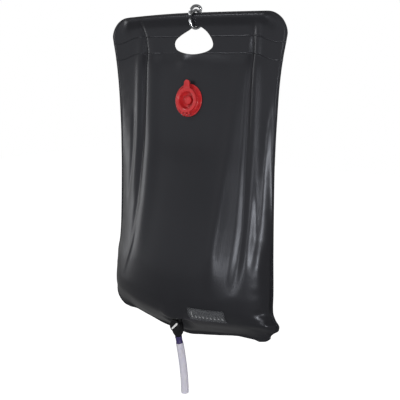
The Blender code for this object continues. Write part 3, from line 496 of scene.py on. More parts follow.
def base_points(u, z, front):
    """Points of a panel's inner face, before its small relief."""
    side = -1.0 if front else 1.0
    together = smooth((top_z(u) - z - BAND_START) / BAND_FADE)
    together = together * (1.0 - smooth(chamber_share(u, z) / CHAMBER_FADE_SHARE))
    room = sheet_room(u, z, front) + (1.0 - together) * fold_stand(u, z, front)
    middle = -FORWARD_LEAN * smooth((TOP_Z - z) / BAG_HEIGHT) - together * fold_stand(u, z, True)
    y = middle + side * (GAP / 2 + np.maximum(room, 0.0))
    points = np.stack([u * side_reach(u, z), y, z], axis=-1)
    if front:
        points = flattened(points, FILLER_SEAT, FILLER_NORMAL, FILLER_FLAT, FILLER_BLEND)
        points = flattened(points, OUTLET_SEAT, OUTLET_NORMAL, OUTLET_FLAT, OUTLET_BLEND)
    return points


def puckers(z, edge, phase):
    """Small waves where the sheet is gathered beside the side welds."""
    wave = sum(height * np.sin(z * pace + lag * phase) for pace, height, lag in PUCKER_WAVES)
    return PUCKER_DEPTH * wave * bell(edge - PUCKER_PLACE, PUCKER_SPREAD)


def calm(points):
    """Nothing waves under the filler, the outlet, the strip or the hook."""
    x, z = points[..., 0], points[..., 2]
    away = np.hypot(x + BAG_X, z + HOOK_CALM_DROP)
    still = off_strip(x, z) * smooth((away - HOOK_CALM) / HOOK_CALM_BLEND)
    for seat, radius in ((FILLER_SEAT, FILLER_FLAT), (OUTLET_SEAT, OUTLET_CALM)):
        away = np.linalg.norm(points - seat, axis=-1)
        still = still * smooth((away - radius) / CALM_BLEND)
    return still


def relief(u, z, front):
    points = base_points(u, z, front)
    edge = (1 - np.abs(u)) * side_reach(u, z) - WELD_MARGIN
    share = chamber_share(u, z)
    top, foot = PUCKER_ONSETS
    in_chamber = smooth(share * top) * smooth((1 - share) * foot) * (edge > 0)
    stand = puckers(z, edge, FRONT_PHASE if front else BACK_PHASE) * in_chamber * calm(points)
    welds = (z - weld_z(u, UPPER_WELD_DROP), z - weld_z(u, LOWER_WELD_DROP), edge,
             z - bottom_z(u) - WELD_MARGIN)
    return stand + BEAD_HEIGHT * np.max([bell(away, BEAD_WIDTH) for away in welds], axis=0)


def sheet_normals(u, z, front):
    step = NORMAL_STEP
    du = base_points(u + step, z, front) - base_points(u - step, z, front)
    dz = base_points(u, z + step, front) - base_points(u, z - step, front)
    normals = np.cross(du, dz)
    normals /= np.maximum(np.linalg.norm(normals, axis=-1, keepdims=True), 1e-12)
    outwards = -1.0 if front else 1.0
    return normals * np.where(normals[..., 1:2] * outwards < 0, -1.0, 1.0)


def sheet_faces(u, z, front):
    """Points of a panel's inner and outer faces, in the world's frame."""
    base = base_points(u, z, front) + BAG_ORIGIN
    normals = sheet_normals(u, z, front)
    stand = relief(u, z, front)[..., None]
    return base + normals * stand, base + normals * (stand + SHEET)


# Mesh helpers

def add_object(name, data):
    made = bpy.data.objects.new(name, data)
    bpy.context.scene.collection.objects.link(made)
    return made


def mesh_of(name, bm):
    mesh = bpy.data.meshes.new(name)
    bm.to_mesh(mesh)
    bm.free()
    return mesh


def piece(name, bm, look, body, node=None, smooth_angle=40.0):
    """Adds a finished mesh as a piece that rides on a body."""
    bmesh.ops.recalc_face_normals(bm, faces=bm.faces)
    made = add_object(name, mesh_of(name, bm))
    made.data.materials.append(look.material)
    made.data.shade_smooth()
    made.data.set_sharp_from_angle(angle=math.radians(smooth_angle))
    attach(made, body)
    if node:
        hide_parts(node)
    return made


def joined(base, added=(), cut=()):
    """Joins closed meshes to the base, and then cuts others from it."""
    objects = []
    for bm in (base, *added, *cut):
        bmesh.ops.recalc_face_normals(bm, faces=bm.faces)
        objects.append(add_object("scratch", mesh_of("scratch", bm)))
    operations = ["UNION"] * len(added) + ["DIFFERENCE"] * len(cut)
    for tool, operation in zip(objects[1:], operations):
        modifier = objects[0].modifiers.new("join", "BOOLEAN")
        modifier.operation = operation
        modifier.solver = "MANIFOLD"
        modifier.object = tool
    bpy.context.view_layer.update()
    made = bmesh.new()
    made.from_object(objects[0], bpy.context.evaluated_depsgraph_get())
    for scratch in objects:
        data = scratch.data
        bpy.data.objects.remove(scratch, do_unlink=True)
        bpy.data.meshes.remove(data)
    return made


def bevelled(obj, width, segments, angle):
    modifier = obj.modifiers.new("rounded edges", "BEVEL")
    modifier.width = width
    modifier.segments = segments
    modifier.limit_method = "ANGLE"
    modifier.angle_limit = math.radians(angle)


def frame_at(origin, axis):
    """A matrix whose Z is the axis and whose X is level."""
    z = Vector(axis).normalized()
    x = Vector((0, 0, 1)).cross(z).normalized()
    turn = Matrix((x, z.cross(x), z)).transposed().to_4x4()
    return Matrix.Translation(origin) @ turn


def skin(bm, rings, closed=False):
    """Faces between neighbouring rings. A corner that they share is taken once."""
    pairs = list(zip(rings, rings[1:])) + ([(rings[-1], rings[0])] if closed else [])
    for low, high in pairs:
        for i in range(len(low)):
            j = (i + 1) % len(low)
            corners = list(dict.fromkeys((low[i], low[j], high[j], high[i])))
            if len(corners) > 2:
                bm.faces.new(corners)


def turned(profile, sides, place):
    """Turns an outline of (radius, height) round Z. One that starts on the axis ends there too."""
    bm = bmesh.new()
    angles = [2 * math.pi * i / sides for i in range(sides)]
    rings = []
    for radius, height in profile:
        if radius > 0:
            rings.append([bm.verts.new((radius * math.cos(a), radius * math.sin(a), height))
                          for a in angles])
        else:
            rings.append([bm.verts.new((0, 0, height))] * sides)
    skin(bm, rings, closed=profile[0][0] > 0)
    bm.transform(place)
    return bm


def rounded(profile, radius, steps=4, limit=0.45):
    """Rounds the corners of an outline of (radius, height) points that aren't on the axis."""
    points = [Vector(p) for p in profile]
    made = []
    for i, point in enumerate(points):
        if point.x == 0:
            made.append(tuple(point))
            continue
        back, ahead = points[i - 1] - point, points[i + 1 - len(points)] - point
        reach = min(radius, back.length * limit, ahead.length * limit)
        start, end = point + back.normalized() * reach, point + ahead.normalized() * reach
        for k in range(steps + 1):
            t = k / steps
            made.append(tuple(start * (1 - t) ** 2 + point * 2 * t * (1 - t) + end * t ** 2))
    return made


def prism(outline, low, high, place):
    bm = bmesh.new()
    base = [bm.verts.new((x, y, low)) for x, y in outline]
    face = bm.faces.new(base)
    grown = bmesh.ops.extrude_face_region(bm, geom=[face])
    tops = [item for item in grown["geom"] if isinstance(item, bmesh.types.BMVert)]
    bmesh.ops.translate(bm, verts=tops, vec=(0, 0, high - low))
    bm.transform(place)
    return bm


def slab(inner, outer):
    """A closed sheet between two grids of points that have the same shape."""
    bm = bmesh.new()
    rows, columns, _ = inner.shape
    near, far = sheets = [[[bm.verts.new(point) for point in row] for row in grid]
                          for grid in (inner, outer)]
    for i in range(rows - 1):
        for j in range(columns - 1):
            for sheet in sheets:
                bm.faces.new((sheet[i][j], sheet[i][j + 1], sheet[i + 1][j + 1], sheet[i + 1][j]))
    rim = [(0, j) for j in range(columns)] + [(i, columns - 1) for i in range(1, rows)]
    rim += [(rows - 1, j) for j in range(columns - 2, -1, -1)]
    rim += [(i, 0) for i in range(rows - 2, 0, -1)]
    for (i, j), (k, m) in zip(rim, rim[1:] + rim[:1]):
        bm.faces.new((near[i][j], near[k][m], far[k][m], far[i][j]))
    return bm


def spline(points, steps, closed=False):
    """Points on a smooth curve through others, in so many steps between each two."""
    points = [np.array(point) for point in points]
    if closed:
        points = [points[-1]] + points + points[:2]
    else:
        points = [2 * points[0] - points[1]] + points + [2 * points[-1] - points[-2]]
    made = []
    for before, start, end, after in zip(points, points[1:], points[2:], points[3:]):
        for t in (step / steps for step in range(steps)):
            made.append(0.5 * (2 * start + (end - before) * t
                               + (2 * before - 5 * start + 4 * end - after) * t ** 2
                               + (3 * start - 3 * end + after - before) * t ** 3))
    return made if closed else made + [points[-2]]


def tube_rings(bm, path, radius, sides, sizes):
    """Rings of vertices round a path. sizes holds a share of the radius for each point."""
    path = [Vector(point) for point in path]
    ahead = [(path[min(i + 1, len(path) - 1)] - path[max(i - 1, 0)]).normalized()
             for i in range(len(path))]
    side = ahead[0].orthogonal().normalized()
    angles = [2 * math.pi * i / sides for i in range(sides)]
    rings = []
    for centre, way, size in zip(path, ahead, sizes):
        side = (side - way * side.dot(way)).normalized()
        other = way.cross(side)
        spokes = [side * math.cos(a) + other * math.sin(a) for a in angles]
        rings.append([bm.verts.new(centre + spoke * radius * size) for spoke in spokes])
    return rings


# Materials

# Most of a noise's values lie between these two
NOISE_LOW, NOISE_HIGH = 0.3, 0.7


def fill(tree, node, inputs):
    """Gives each input its value, or a link from another node's output."""
    for name, value in inputs.items():
        if isinstance(value, bpy.types.NodeSocket):
            tree.links.new(value, node.inputs[name])
        else:
            node.inputs[name].default_value = value


def add_node(tree, kind, inputs=None, **settings):
    node = tree.nodes.new(kind)
    for name, value in settings.items():
        setattr(node, name, value)
    fill(tree, node, inputs or {})
    return node


class Look:
    """A Principled material that is built node by node, in the object's own coordinates."""

    def __init__(self, name, slot, roughness, metallic=0.0, specular=0.5):
        self.slot = slot
        self.material = bpy.data.materials.new(name)
        self.material.use_nodes = True
        self.tree = self.material.node_tree
        self.shader = self.tree.nodes["Principled BSDF"]
        self.put({"Roughness": roughness, "Metallic": metallic, "Specular IOR Level": specular})
        self.place = add_node(self.tree, "ShaderNodeTexCoord").outputs["Object"]

    def put(self, inputs):
        fill(self.tree, self.shader, inputs)
        return self

    def noise(self, scale, detail=4.0, stretch=(1, 1, 1)):
        mapping = add_node(self.tree, "ShaderNodeMapping", {"Scale": stretch, "Vector": self.place})
        texture = add_node(self.tree, "ShaderNodeTexNoise", {
            "Scale": scale, "Detail": detail, "Vector": mapping.outputs["Vector"]})
        return texture.outputs["Fac"]

    def cells(self, scale):
        inputs = {"Scale": scale, "Vector": self.place}
        return add_node(self.tree, "ShaderNodeTexVoronoi", inputs).outputs["Distance"]

    def colour(self, source, *stops):
        """Runs between two colours, each given with its place on the source."""
        node = add_node(self.tree, "ShaderNodeValToRGB", {"Fac": source})
        for element, (position, colour) in zip(node.color_ramp.elements, stops):
            element.position = position
            element.color = (*colour, 1.0)
        return self.put({"Base Color": node.outputs["Color"]})

    def roughness(self, source, low, high):
        node = add_node(self.tree, "ShaderNodeMapRange", {
            "From Min": NOISE_LOW, "From Max": NOISE_HIGH, "To Min": low, "To Max": high,
            "Value": source})
        return self.put({"Roughness": node.outputs["Result"]})

    def bump(self, distance, *sources):
        """Bumps from several (height, strength) sources, one on another."""
        inputs = {"Distance": distance}
        for height, strength in sources:
            inputs.update({"Strength": strength, "Height": height})
            node = add_node(self.tree, "ShaderNodeBump", inputs)
            inputs["Normal"] = node.outputs["Normal"]
        return self.put({"Normal": inputs["Normal"]})


def black_pvc():
    look = Look("black pvc sheet", "black_pvc", 0.30, specular=0.42)
    look.put({"Specular Tint": (0.88, 0.91, 1.0, 1.0)})
    broad = look.noise(7.0, 3.0, (1, 1, 0.3))
    look.colour(broad, (0.25, (0.0128, 0.0128, 0.0150)), (0.75, (0.0160, 0.0160, 0.0188)))
    look.roughness(look.noise(22.0, 4.0, (1, 1, 0.35)), 0.29, 0.335)
    return look.bump(0.0012, (look.cells(900.0), 0.04), (look.noise(48.0, 2.0), 0.05),
                     (look.noise(11.0, 2.0, (1, 1, 0.25)), 0.10))


def steel_wire():
    look = Look("plated steel wire", "steel", 0.16, metallic=1.0)
    streaks = look.noise(420.0, 3.0, (1, 1, 0.15))
    look.colour(streaks, (NOISE_LOW, (0.50, 0.51, 0.53)), (NOISE_HIGH, (0.72, 0.73, 0.75)))
    return look.roughness(look.noise(300.0), 0.12, 0.24).bump(0.0002, (streaks, 0.05))


def moulded(name, slot, dark, light, roughness, grain=700.0, strength=0.06, specular=0.5):
    look = Look(name, slot, roughness, specular=specular)
    look.colour(look.noise(120.0), (NOISE_LOW, dark), (NOISE_HIGH, light))
    look.roughness(look.noise(240.0), roughness * 0.85, roughness * 1.2)
    return look.bump(0.0003, (look.noise(grain, 2.0), strength))


def clear_film():
    look = moulded("clear film", "clear_film", (0.10, 0.105, 0.115), (0.14, 0.145, 0.155), 0.16,
                   90.0, 0.05)
    return look.put({"Alpha": 0.22})


def milky_hose():
    look = moulded("milky hose", "hose_pvc", (0.80, 0.78, 0.88), (0.86, 0.84, 0.93), 0.16,
                   500.0, 0.05)
    return look.put({"Transmission Weight": 0.35, "Subsurface Weight": 0.25,
                     "Subsurface Radius": (0.01, 0.01, 0.012)})


PVC = black_pvc()
STEEL = steel_wire()
RED = moulded("red soft pvc", "red_pvc", (0.50, 0.022, 0.026), (0.60, 0.034, 0.038), 0.24)
BLACK = moulded("black moulding", "black_plastic", (0.004, 0.004, 0.005), (0.007, 0.007, 0.008),
                0.40, specular=0.3)
WHITE = moulded("white moulding", "white_plastic", (0.78, 0.78, 0.78), (0.86, 0.86, 0.86), 0.34)
VIOLET = moulded("violet moulding", "violet_plastic", (0.028, 0.018, 0.095),
                 (0.045, 0.030, 0.130), 0.38)
RUBBER = moulded("black rubber", "rubber", (0.015, 0.015, 0.015), (0.028, 0.028, 0.028), 0.75,
                 strength=0.2)
CARD = moulded("strip card", "strip_card", (0.052, 0.054, 0.060), (0.075, 0.077, 0.083), 0.50)
PRINT = moulded("pale print", "strip_card", (0.62, 0.63, 0.64), (0.72, 0.73, 0.74), 0.55)
FILM = clear_film()
HOSE = milky_hose()


# The camera and the hose, which are made first

def make_camera():
    camera = add_object("camera", bpy.data.cameras.new("camera"))
    level = Vector((-math.sin(CAMERA_AZIMUTH), math.cos(CAMERA_AZIMUTH), 0.0))
    ahead = level * math.cos(CAMERA_PITCH) - Vector((0, 0, math.sin(CAMERA_PITCH)))
    camera.matrix_world = frame_at(CAMERA_PLACE, -ahead)
    camera.data.lens = CAMERA_LENS
    bpy.context.scene.camera = camera


def hose_sway(t):
    return HOSE_SWAY * (1 - (1 - t) ** HOSE_BEND)


OUTLET_TURN = math.atan2(hose_sway(1 / HOSE_LEGS), HOSE_DROP / HOSE_LEGS)


def make_hose():
    """A soft tube with a bore, in line with its collar and then hanging straight."""
    start = collar_place() @ Vector((0, 0, -(COLLAR_LENGTH + GAP)))
    turn = Matrix.Rotation(HOSE_HEADING, 3, "Z")
    corners = [turn @ Vector((hose_sway(i / HOSE_LEGS), 0, -HOSE_DROP * i / HOSE_LEGS))
               for i in range(HOSE_LEGS + 1)]
    corners = [np.array(start + corner) for corner in corners]
    first = [corners[0] + (corners[1] - corners[0]) * share for share in (0.0, 0.34, 0.67)]
    path = first + spline(corners[1:], CURVE_STEPS)
    count = len(path)
    bm = bmesh.new()
    sizes = [HOSE_LIP] + [1.0] * (count - 2) + [HOSE_LIP]
    outer = tube_rings(bm, path, HOSE_DIAMETER / 2, HOSE_SIDES, sizes)
    inner = tube_rings(bm, path, HOSE_BORE / 2, HOSE_SIDES, [1.0] * count)
    skin(bm, outer + inner[::-1], closed=True)
    made = piece("hose_tube", bm, HOSE, "bag", "water_hose")


# The bag

def panel_columns():
    """Places across the bag, closer at the weld beads and the sides."""
    inner = 1.0 - WELD_MARGIN / HALF_WIDTH
    bead = BEAD_WIDTH / HALF_WIDTH
    reach = inner - BAND_ROOM * bead
    middle = np.sin(np.linspace(0.0, math.pi / 2, HALF_COLUMNS)[:-1]) * reach
    spaced = np.linspace(0.0, reach, HALF_COLUMNS)[:-1]
    half = list(SINE_SHARE * middle + (1 - SINE_SHARE) * spaced)
    half += [inner + step * bead for step in BEAD_STEPS]
    half = np.array(half + [(half[-1] + 1.0) / 2, 1.0])
    return np.concatenate([-half[:0:-1], half])


def panel_rows(u):
    """Heights down the bag at one place across it, closer at the welds."""
    top, end = float(top_z(u)), float(bottom_z(u)) + WELD_MARGIN
    upper, lower = (float(weld_z(u, drop)) for drop in (UPPER_WELD_DROP, LOWER_WELD_DROP))
    reach = min((top - upper) * CORNER_REACH, TOP_CORNER_RADIUS) * CORNER_SHARE
    corner = top - reach * (1 - np.cos(np.linspace(0.0, math.pi / 2, CORNER_ROWS)[:-1]))
    rows = list(corner)
    rows += list(np.linspace(corner[-1], upper + BAND_ROOM * BEAD_WIDTH, HEM_ROWS)[1:-1])
    for weld, next_weld, room, count in (
            (upper, lower, BAND_ROOM, BAND_ROWS), (lower, end, CHAMBER_ROOM, CHAMBER_ROWS)):
        rows += [weld - step * BEAD_WIDTH for step in BEAD_STEPS]
        room *= BEAD_WIDTH
        rows += list(np.linspace(weld - room, next_weld + room, count))
    rows += [end - step * BEAD_WIDTH for step in BEAD_STEPS]
    return np.array(rows + [end - WELD_MARGIN / 2, end - WELD_MARGIN * RIM_SHARE])


def hole_cutter():
    peak = 2 * WIRE_RADIUS - HOOK_DROP + GAP
    outline = [(BAG_X + across * HOLE_HALF_WIDTH, peak - down * HOLE_HEIGHT)
               for across, down in HOLE_SHARES]
    place = frame_at((0, 0, 0), (0, -1, 0))
    return prism(spline(outline, HOLE_STEPS, closed=True), -HOLE_CUT, HOLE_CUT, place)


def filler_place():
    origin = FILLER_SEAT + FILLER_NORMAL * (SHEET + GAP) + BAG_ORIGIN
    return frame_at(origin, FILLER_NORMAL)


def disc(radius, low, high, sides, place):
    return turned([(0, low), (radius, low), (radius, high), (0, high)], sides, place)


def make_sheets():
    us = panel_columns()
    rows = np.array([panel_rows(u) for u in us]).T
    across = np.broadcast_to(us, rows.shape)
    filler_hole = (NECK_RADIUS + GAP, -2 * CUT_ROOM, CUT_REACH, FILLER_SIDES, filler_place())
    outlet_hole = (PORT_RADIUS + GAP, PANEL_FACE - CUT_ROOM, PANEL_FACE + CUT_REACH, SMALL_SIDES,
                   upright())
    for name, node, holes in (("front_sheet", "front_panel", (filler_hole, outlet_hole)),
                              ("back_sheet", "back_panel", ())):
        inner, outer = sheet_faces(across, rows, name == "front_sheet")
        cutters = [hole_cutter()] + [disc(*hole) for hole in holes]
        made = joined(slab(inner, outer), cut=cutters)
        made = piece(name, made, PVC, "bag", node, 50.0)


def strip_points(xs, zs, offset):
    """Points above the front sheet's outer face, on a grid of places."""
    x, z = np.meshgrid(xs, zs)
    u = x / side_reach(np.sign(x), z)
    base = base_points(u, z, True) + BAG_ORIGIN
    return base + sheet_normals(u, z, True) * (SHEET + offset)


def strip_lines(length, count, edge):
    lines = np.linspace(-length / 2, length / 2, count + 1)
    return np.array([lines[0] - edge, *lines, lines[-1] + edge]) if edge else lines


def make_strip():
    seat = 2 * GAP
    cover = seat + STRIP_THICKNESS + GAP
    for name, edge, low, thickness, look, node in (
            ("strip_card", 0.0, seat, STRIP_THICKNESS, CARD, "temperature_strip"),
            ("strip_film", WINDOW_EDGE, cover, WINDOW_THICKNESS, FILM, "strip_window")):
        xs = STRIP_X + strip_lines(STRIP_WIDTH, STRIP_COLUMNS, edge)
        zs = STRIP_Z - strip_lines(STRIP_HEIGHT, STRIP_ROWS, edge)
        grids = strip_points(xs, zs, low), strip_points(xs, zs, low + thickness)
        piece(name, slab(*grids), look, "bag", node)
    bm = bmesh.new()
    low = seat + STRIP_THICKNESS
    left, foot = STRIP_X - STRIP_WIDTH / 2, STRIP_Z - STRIP_HEIGHT / 2
    places = [left + STRIP_WIDTH * (i + MARK_START) / MARK_COUNT for i in range(MARK_COUNT)]
    marks = [(x, *DOT) for x in places] + [(left + SIDE_BAR_X, *SIDE_BAR)]
    for x, rise, width, height in marks + [(x, *TICK) for x in places]:
        xs = np.linspace(x - width / 2, x + width / 2, 3)
        zs = np.linspace(foot + rise + height / 2, foot + rise - height / 2, 3)
        grids = strip_points(xs, zs, low - MARK_SINK), strip_points(xs, zs, low + MARK_STAND)
        mesh = mesh_of("scratch", slab(*grids))
        bm.from_mesh(mesh)
        bpy.data.meshes.remove(mesh)
    piece("strip_marks", bm, PRINT, "bag")


# The hook

def make_hook():
    forward = np.array([-math.sin(HOOK_TURN), -math.cos(HOOK_TURN), 0.0])
    top = np.array([0.0, 0.0, WIRE_RADIUS])
    path = spline([top + forward * HOOK_HALF_WIDTH * across - np.array([0, 0, HOOK_DROP * down])
                   for across, down in HOOK_SHARES], WIRE_STEPS)
    start, end = path[0] - path[1], path[-1] - path[-2]
    start, end = start / np.linalg.norm(start), end / np.linalg.norm(end)
    sizes = [1.0] * len(path)
    step = WIRE_RADIUS * WIRE_END_STEP
    for share in WIRE_END_SHARES:
        size = math.sqrt(max(1 - share ** 2, WIRE_TIP ** 2))
        path = [path[0] + start * step] + path + [path[-1] + end * step]
        sizes = [size] + sizes + [size]
    bm = bmesh.new()
    rings = tube_rings(bm, path, WIRE_RADIUS, WIRE_SIDES, sizes)
    skin(bm, rings)
    bm.faces.new(rings[0])
    bm.faces.new(rings[-1])
    piece("hook_wire", bm, STEEL, "hook", "s_hook")


# The filler

def knuckle(index, place, arm):
    """A round knuckle on the hinge axis with its arm, given as (across, height) corners."""
    centre = ((index - 2) * (KNUCKLE_WIDTH + GAP), -CAP_HINGE_RADIUS, HINGE_HEIGHT)
    start = math.atan2(arm[0][1], arm[0][0])
    end = math.atan2(arm[-1][1], arm[-1][0])
    sweep = (start - end) % (2 * math.pi)
    outline = list(arm)
    for i in range(1, KNUCKLE_STEPS):
        angle = end + sweep * i / KNUCKLE_STEPS
        outline.append((KNUCKLE_RADIUS * math.cos(angle), KNUCKLE_RADIUS * math.sin(angle)))
    lay = place @ Matrix.Translation(centre) @ Matrix(
        ((0, 0, 1, 0), (1, 0, 0, 0), (0, 1, 0, 0), (0, 0, 0, 1)))
    return prism(outline, -KNUCKLE_WIDTH / 2, KNUCKLE_WIDTH / 2, lay)


def make_filler_flange():
    place = filler_place()
    bore = NECK_RADIUS - NECK_WALL
    foot = -(SHEET + GAP + NECK_DEPTH)
    lip = FLANGE_RADIUS - FLANGE_LIP
    dish = FLANGE_THICKNESS * FLANGE_DISH_SHARE
    profile = [(bore, foot), (NECK_RADIUS, foot), (NECK_RADIUS, 0), (FLANGE_RADIUS, 0),
               (FLANGE_RADIUS, FLANGE_THICKNESS), (lip, FLANGE_THICKNESS),
               (lip - FLANGE_LIP_SLOPE, dish), (NECK_RADIUS + FLANGE_NECK_SLOPE, dish),
               (NECK_RADIUS, FLANGE_THICKNESS), (NECK_RADIUS, HINGE_HEIGHT), (bore, HINGE_HEIGHT)]
    half = LUG_HALF_WIDTH
    shoulder = -math.sqrt(KNUCKLE_RADIUS ** 2 - half ** 2)
    root = FLANGE_THICKNESS / 2 - HINGE_HEIGHT
    bracket = [(-half, shoulder), (-half, root), (half, root), (half, shoulder)]
    lugs = [knuckle(index, place, bracket) for index in (1, 3)]
    made = joined(turned(rounded(profile, FLANGE_ROUNDING), FILLER_SIDES, place), lugs)
    piece("filler_flange", made, RED, "bag", "filler_base")


def make_filler_lid():
    place = filler_place()
    under = HINGE_HEIGHT + GAP
    top = under + CAP_THICKNESS
    plug = NECK_RADIUS - NECK_WALL - GAP
    tip = plug - PLUG_TAPER
    floor = under - PLUG_DEPTH
    hollow = plug - PLUG_WALL
    step = floor + CAP_FLOOR
    boss = step + BOSS_HEIGHT
    profile = [(0, floor), (tip, floor), (plug, under), (CAP_RADIUS, under), (CAP_RADIUS, top),
               *((hollow + across, top + rise) for across, rise in DISH_LIP),
               (hollow - DISH_TAPER, step + DISH_RISE), (tip - PLUG_WALL - DISH_FOOT, step),
               (BOSS_RADIUS + BOSS_FLARE, step),
               *((BOSS_RADIUS * share, boss + rise) for share, rise in BOSS_TOP)]
    wide, half = (TAB_WIDTH / 2 * share for share in TAB_SHARES)
    root = CAP_RADIUS - TAB_OVERLAP
    end = CAP_RADIUS + TAB_LENGTH - half
    outline = [(-wide, root), (wide, root), (half, root + TAB_ROOT)]
    outline += [(half * math.cos(angle), end + half * math.sin(angle))
                for angle in np.linspace(0, math.pi, END_POINTS)]
    outline.append((-half, root + TAB_ROOT))
    low = under + (CAP_THICKNESS - TAB_THICKNESS) / 2
    parts = [prism(outline, low, low + TAB_THICKNESS, place)]
    reach = CAP_HINGE_RADIUS - CAP_RADIUS + ARM_OVERLAP
    low, high = (KNUCKLE_RADIUS * share for share in ARM_SHARES)
    arm = [(math.sqrt(KNUCKLE_RADIUS ** 2 - low ** 2), low), (reach, low),
           (reach, high), (math.sqrt(KNUCKLE_RADIUS ** 2 - high ** 2), high)]
    parts += [knuckle(index, place, arm[::-1]) for index in (0, 2, 4)]
    made = joined(turned(rounded(profile, CAP_ROUNDING), FILLER_SIDES, place), parts)
    bevelled(piece("filler_lid", made, RED, "filler_cap", "filler_cap"), CAP_BEVEL, 2, 50.0)


# The stopcock

def upright():
    """The stopcock's frame: Z runs up its port, and -Y out along its plug."""
    return Matrix.Translation(PLUG_CENTRE)


def plug_place():
    """Z points back along the plug's axis, from the knob to the screw."""
    return upright() @ Matrix.Rotation(-math.pi / 2, 4, "X")


def bowl_place():
    heading = upright() @ Matrix.Rotation(HOSE_HEADING, 4, "Z")
    return heading @ Matrix.Rotation(-OUTLET_TURN / 2, 4, "Y")


def collar_place():
    """The leaning frame of the barb, with its origin where the collar starts."""
    root = Matrix.Translation((0, 0, -COLLAR_DROP))
    return bowl_place() @ root @ Matrix.Rotation(-OUTLET_TURN / 2, 4, "Y")


def make_tap():
    place, across = upright(), plug_place()
    end = CUT_ROOM - COLLAR_LENGTH
    foot = -(COLLAR_DROP - COLLAR_RADIUS * math.sin(OUTLET_TURN / 2) - GAP)
    top = PANEL_FACE + SHEET + WASHER_THICKNESS + 2 * GAP + PORT_LENGTH
    flange, brim = BODY_FLANGE_HEIGHT, BODY_FLANGE_HEIGHT + BODY_FLANGE_THICKNESS
    crown = [(BODY_RADIUS * math.sin(a), -BODY_RADIUS * math.cos(a))
             for a in np.linspace(0, BALL_END, BALL_POINTS)]
    crown += [(BODY_FLANGE_RADIUS, flange), (BODY_FLANGE_RADIUS, brim), (PORT_RADIUS, brim),
              (PORT_RADIUS, top), (0, top)]
    bowl = [(BODY_RADIUS * radius, foot * (1 - height)) for height, radius in BOWL_SHARES]
    bowl = [(0, foot)] + [tuple(p) for p in spline(bowl, CURVE_STEPS)] + [(0, 0)]
    deep = 3 * BODY_RADIUS
    square = [(-deep, -deep), (deep, -deep), (deep, deep), (-deep, deep)]
    reach = BODY_HALF_DEPTH + CUT_ROOM
    added = (turned(bowl, SIDES, bowl_place()),
             disc(BARB_RADIUS, end, BARB_RADIUS + COLLAR_RADIUS, SMALL_SIDES, collar_place()))
    cut = (prism(square, BODY_HALF_DEPTH, deep, across),
           prism(square, -deep, -BODY_HALF_DEPTH, across),
           disc(PLUG_CORE_RADIUS + GAP, -reach, reach, SIDES, across),
           disc(PORT_BORE_RADIUS, CUT_ROOM / 2, top + CUT_ROOM, BORE_SIDES, place),
           disc(PORT_BORE_RADIUS, -COLLAR_DROP, 0, BORE_SIDES, bowl_place()),
           disc(PORT_BORE_RADIUS, end - CUT_ROOM, CUT_ROOM, BORE_SIDES, collar_place()))
    made = joined(turned(crown, SIDES, place), added, cut)
    bevelled(piece("tap_shell", made, BLACK, "bag", "tap_body", 30.0), TAP_BEVEL, 2, 40.0)

    back = -BODY_HALF_DEPTH - GAP
    face = back - KNOB_THICKNESS
    tail = BODY_HALF_DEPTH - GAP
    profile = [(0, face + KNOB_DOME), (KNOB_RADIUS * KNOB_FLAT_SHARE, face), (KNOB_RADIUS, face),
               (KNOB_RADIUS, back), (PLUG_CORE_RADIUS, back), (PLUG_CORE_RADIUS, tail), (0, tail)]
    tilted = across @ Matrix.Rotation(-POINTER_ANGLE, 4, "Z")
    bore = tilted @ Matrix.Rotation(math.pi / 2, 4, "Y")
    seat = face + POINTER_SLOT
    cut = (disc(PORT_BORE_RADIUS, -BORE_REACH, BORE_REACH, BORE_SIDES, bore),
           disc(SCREW_RADIUS, tail - SCREW_DEPTH, tail + CUT_ROOM, BORE_SIDES, across),
           prism(bar_outline(GAP), face - CUT_ROOM, seat + GAP, tilted))
    made = joined(turned(rounded(profile, KNOB_ROUNDING), SIDES, across), cut=cut)
    piece("tap_knob", made, BLACK, "tap_plug", "tap_plug", 35.0)
    bar = prism(bar_outline(0.0), seat - POINTER_HEIGHT, seat, tilted)
    bevelled(piece("knob_pointer", bar, WHITE, "tap_plug", "tap_pointer"), POINTER_BEVEL, 3, 40.0)


def bar_outline(room):
    """The pointer, a little wider at its upper end."""
    half, wide = POINTER_LENGTH / 2 + room, POINTER_WIDTH / 2 + room
    outline = []
    for end, width, start in ((1, wide, -0.5), (-1, wide * POINTER_TAPER, 0.5)):
        for angle in np.linspace(math.pi * start, math.pi * (start + 1), END_POINTS):
            outline.append((end * (half - width) + width * math.cos(angle),
                            width * math.sin(angle)))
    return outline


def make_collar():
    bore, ridge = BARB_RADIUS + GAP, COLLAR_RADIUS - COLLAR_STEP
    half = [(bore, 0.0), (COLLAR_RADIUS, 0.0), (COLLAR_RADIUS, -COLLAR_BAND),
            (ridge, -COLLAR_BAND - COLLAR_SLOPE)]
    profile = [(radius, -COLLAR_LENGTH - height) for radius, height in half] + half[::-1]
    made = turned(rounded(profile, COLLAR_ROUNDING), SMALL_SIDES, collar_place())
    piece("hose_sleeve", made, VIOLET, "bag", "hose_collar")


def dress_nodes():
    """Gives the solids that still show their materials."""
    looks = {"handle_rod": BLACK, "cap_hinge_pin": STEEL, "outlet_washer": RUBBER,
             "inner_washer": RUBBER, "outlet_nut": BLACK, "plug_o_ring_front": RUBBER,
             "plug_o_ring_rear": RUBBER, "plug_washer": STEEL, "plug_screw": STEEL}
    for name, look in looks.items():
        mesh = frame["nodes"][name].data
        mesh.materials.clear()
        mesh.materials.append(look.material)


# The studio. Each lamp has a place, the height on the Z axis that it faces, a size and a power.

LAMPS = (("left softbox", (-2.28, -0.36, -0.25), -0.3, (0.60, 1.2), 5),
         ("top softbox", (-1.25, -1.60, 1.62), -0.1, (0.38, 0.30), 11),
         ("front softbox", (0.50, -2.21, -0.50), -0.4, (0.26, 0.40), 6),
         ("side softbox", (1.66, -1.47, -0.44), -0.4, (0.38, 0.40), 17))


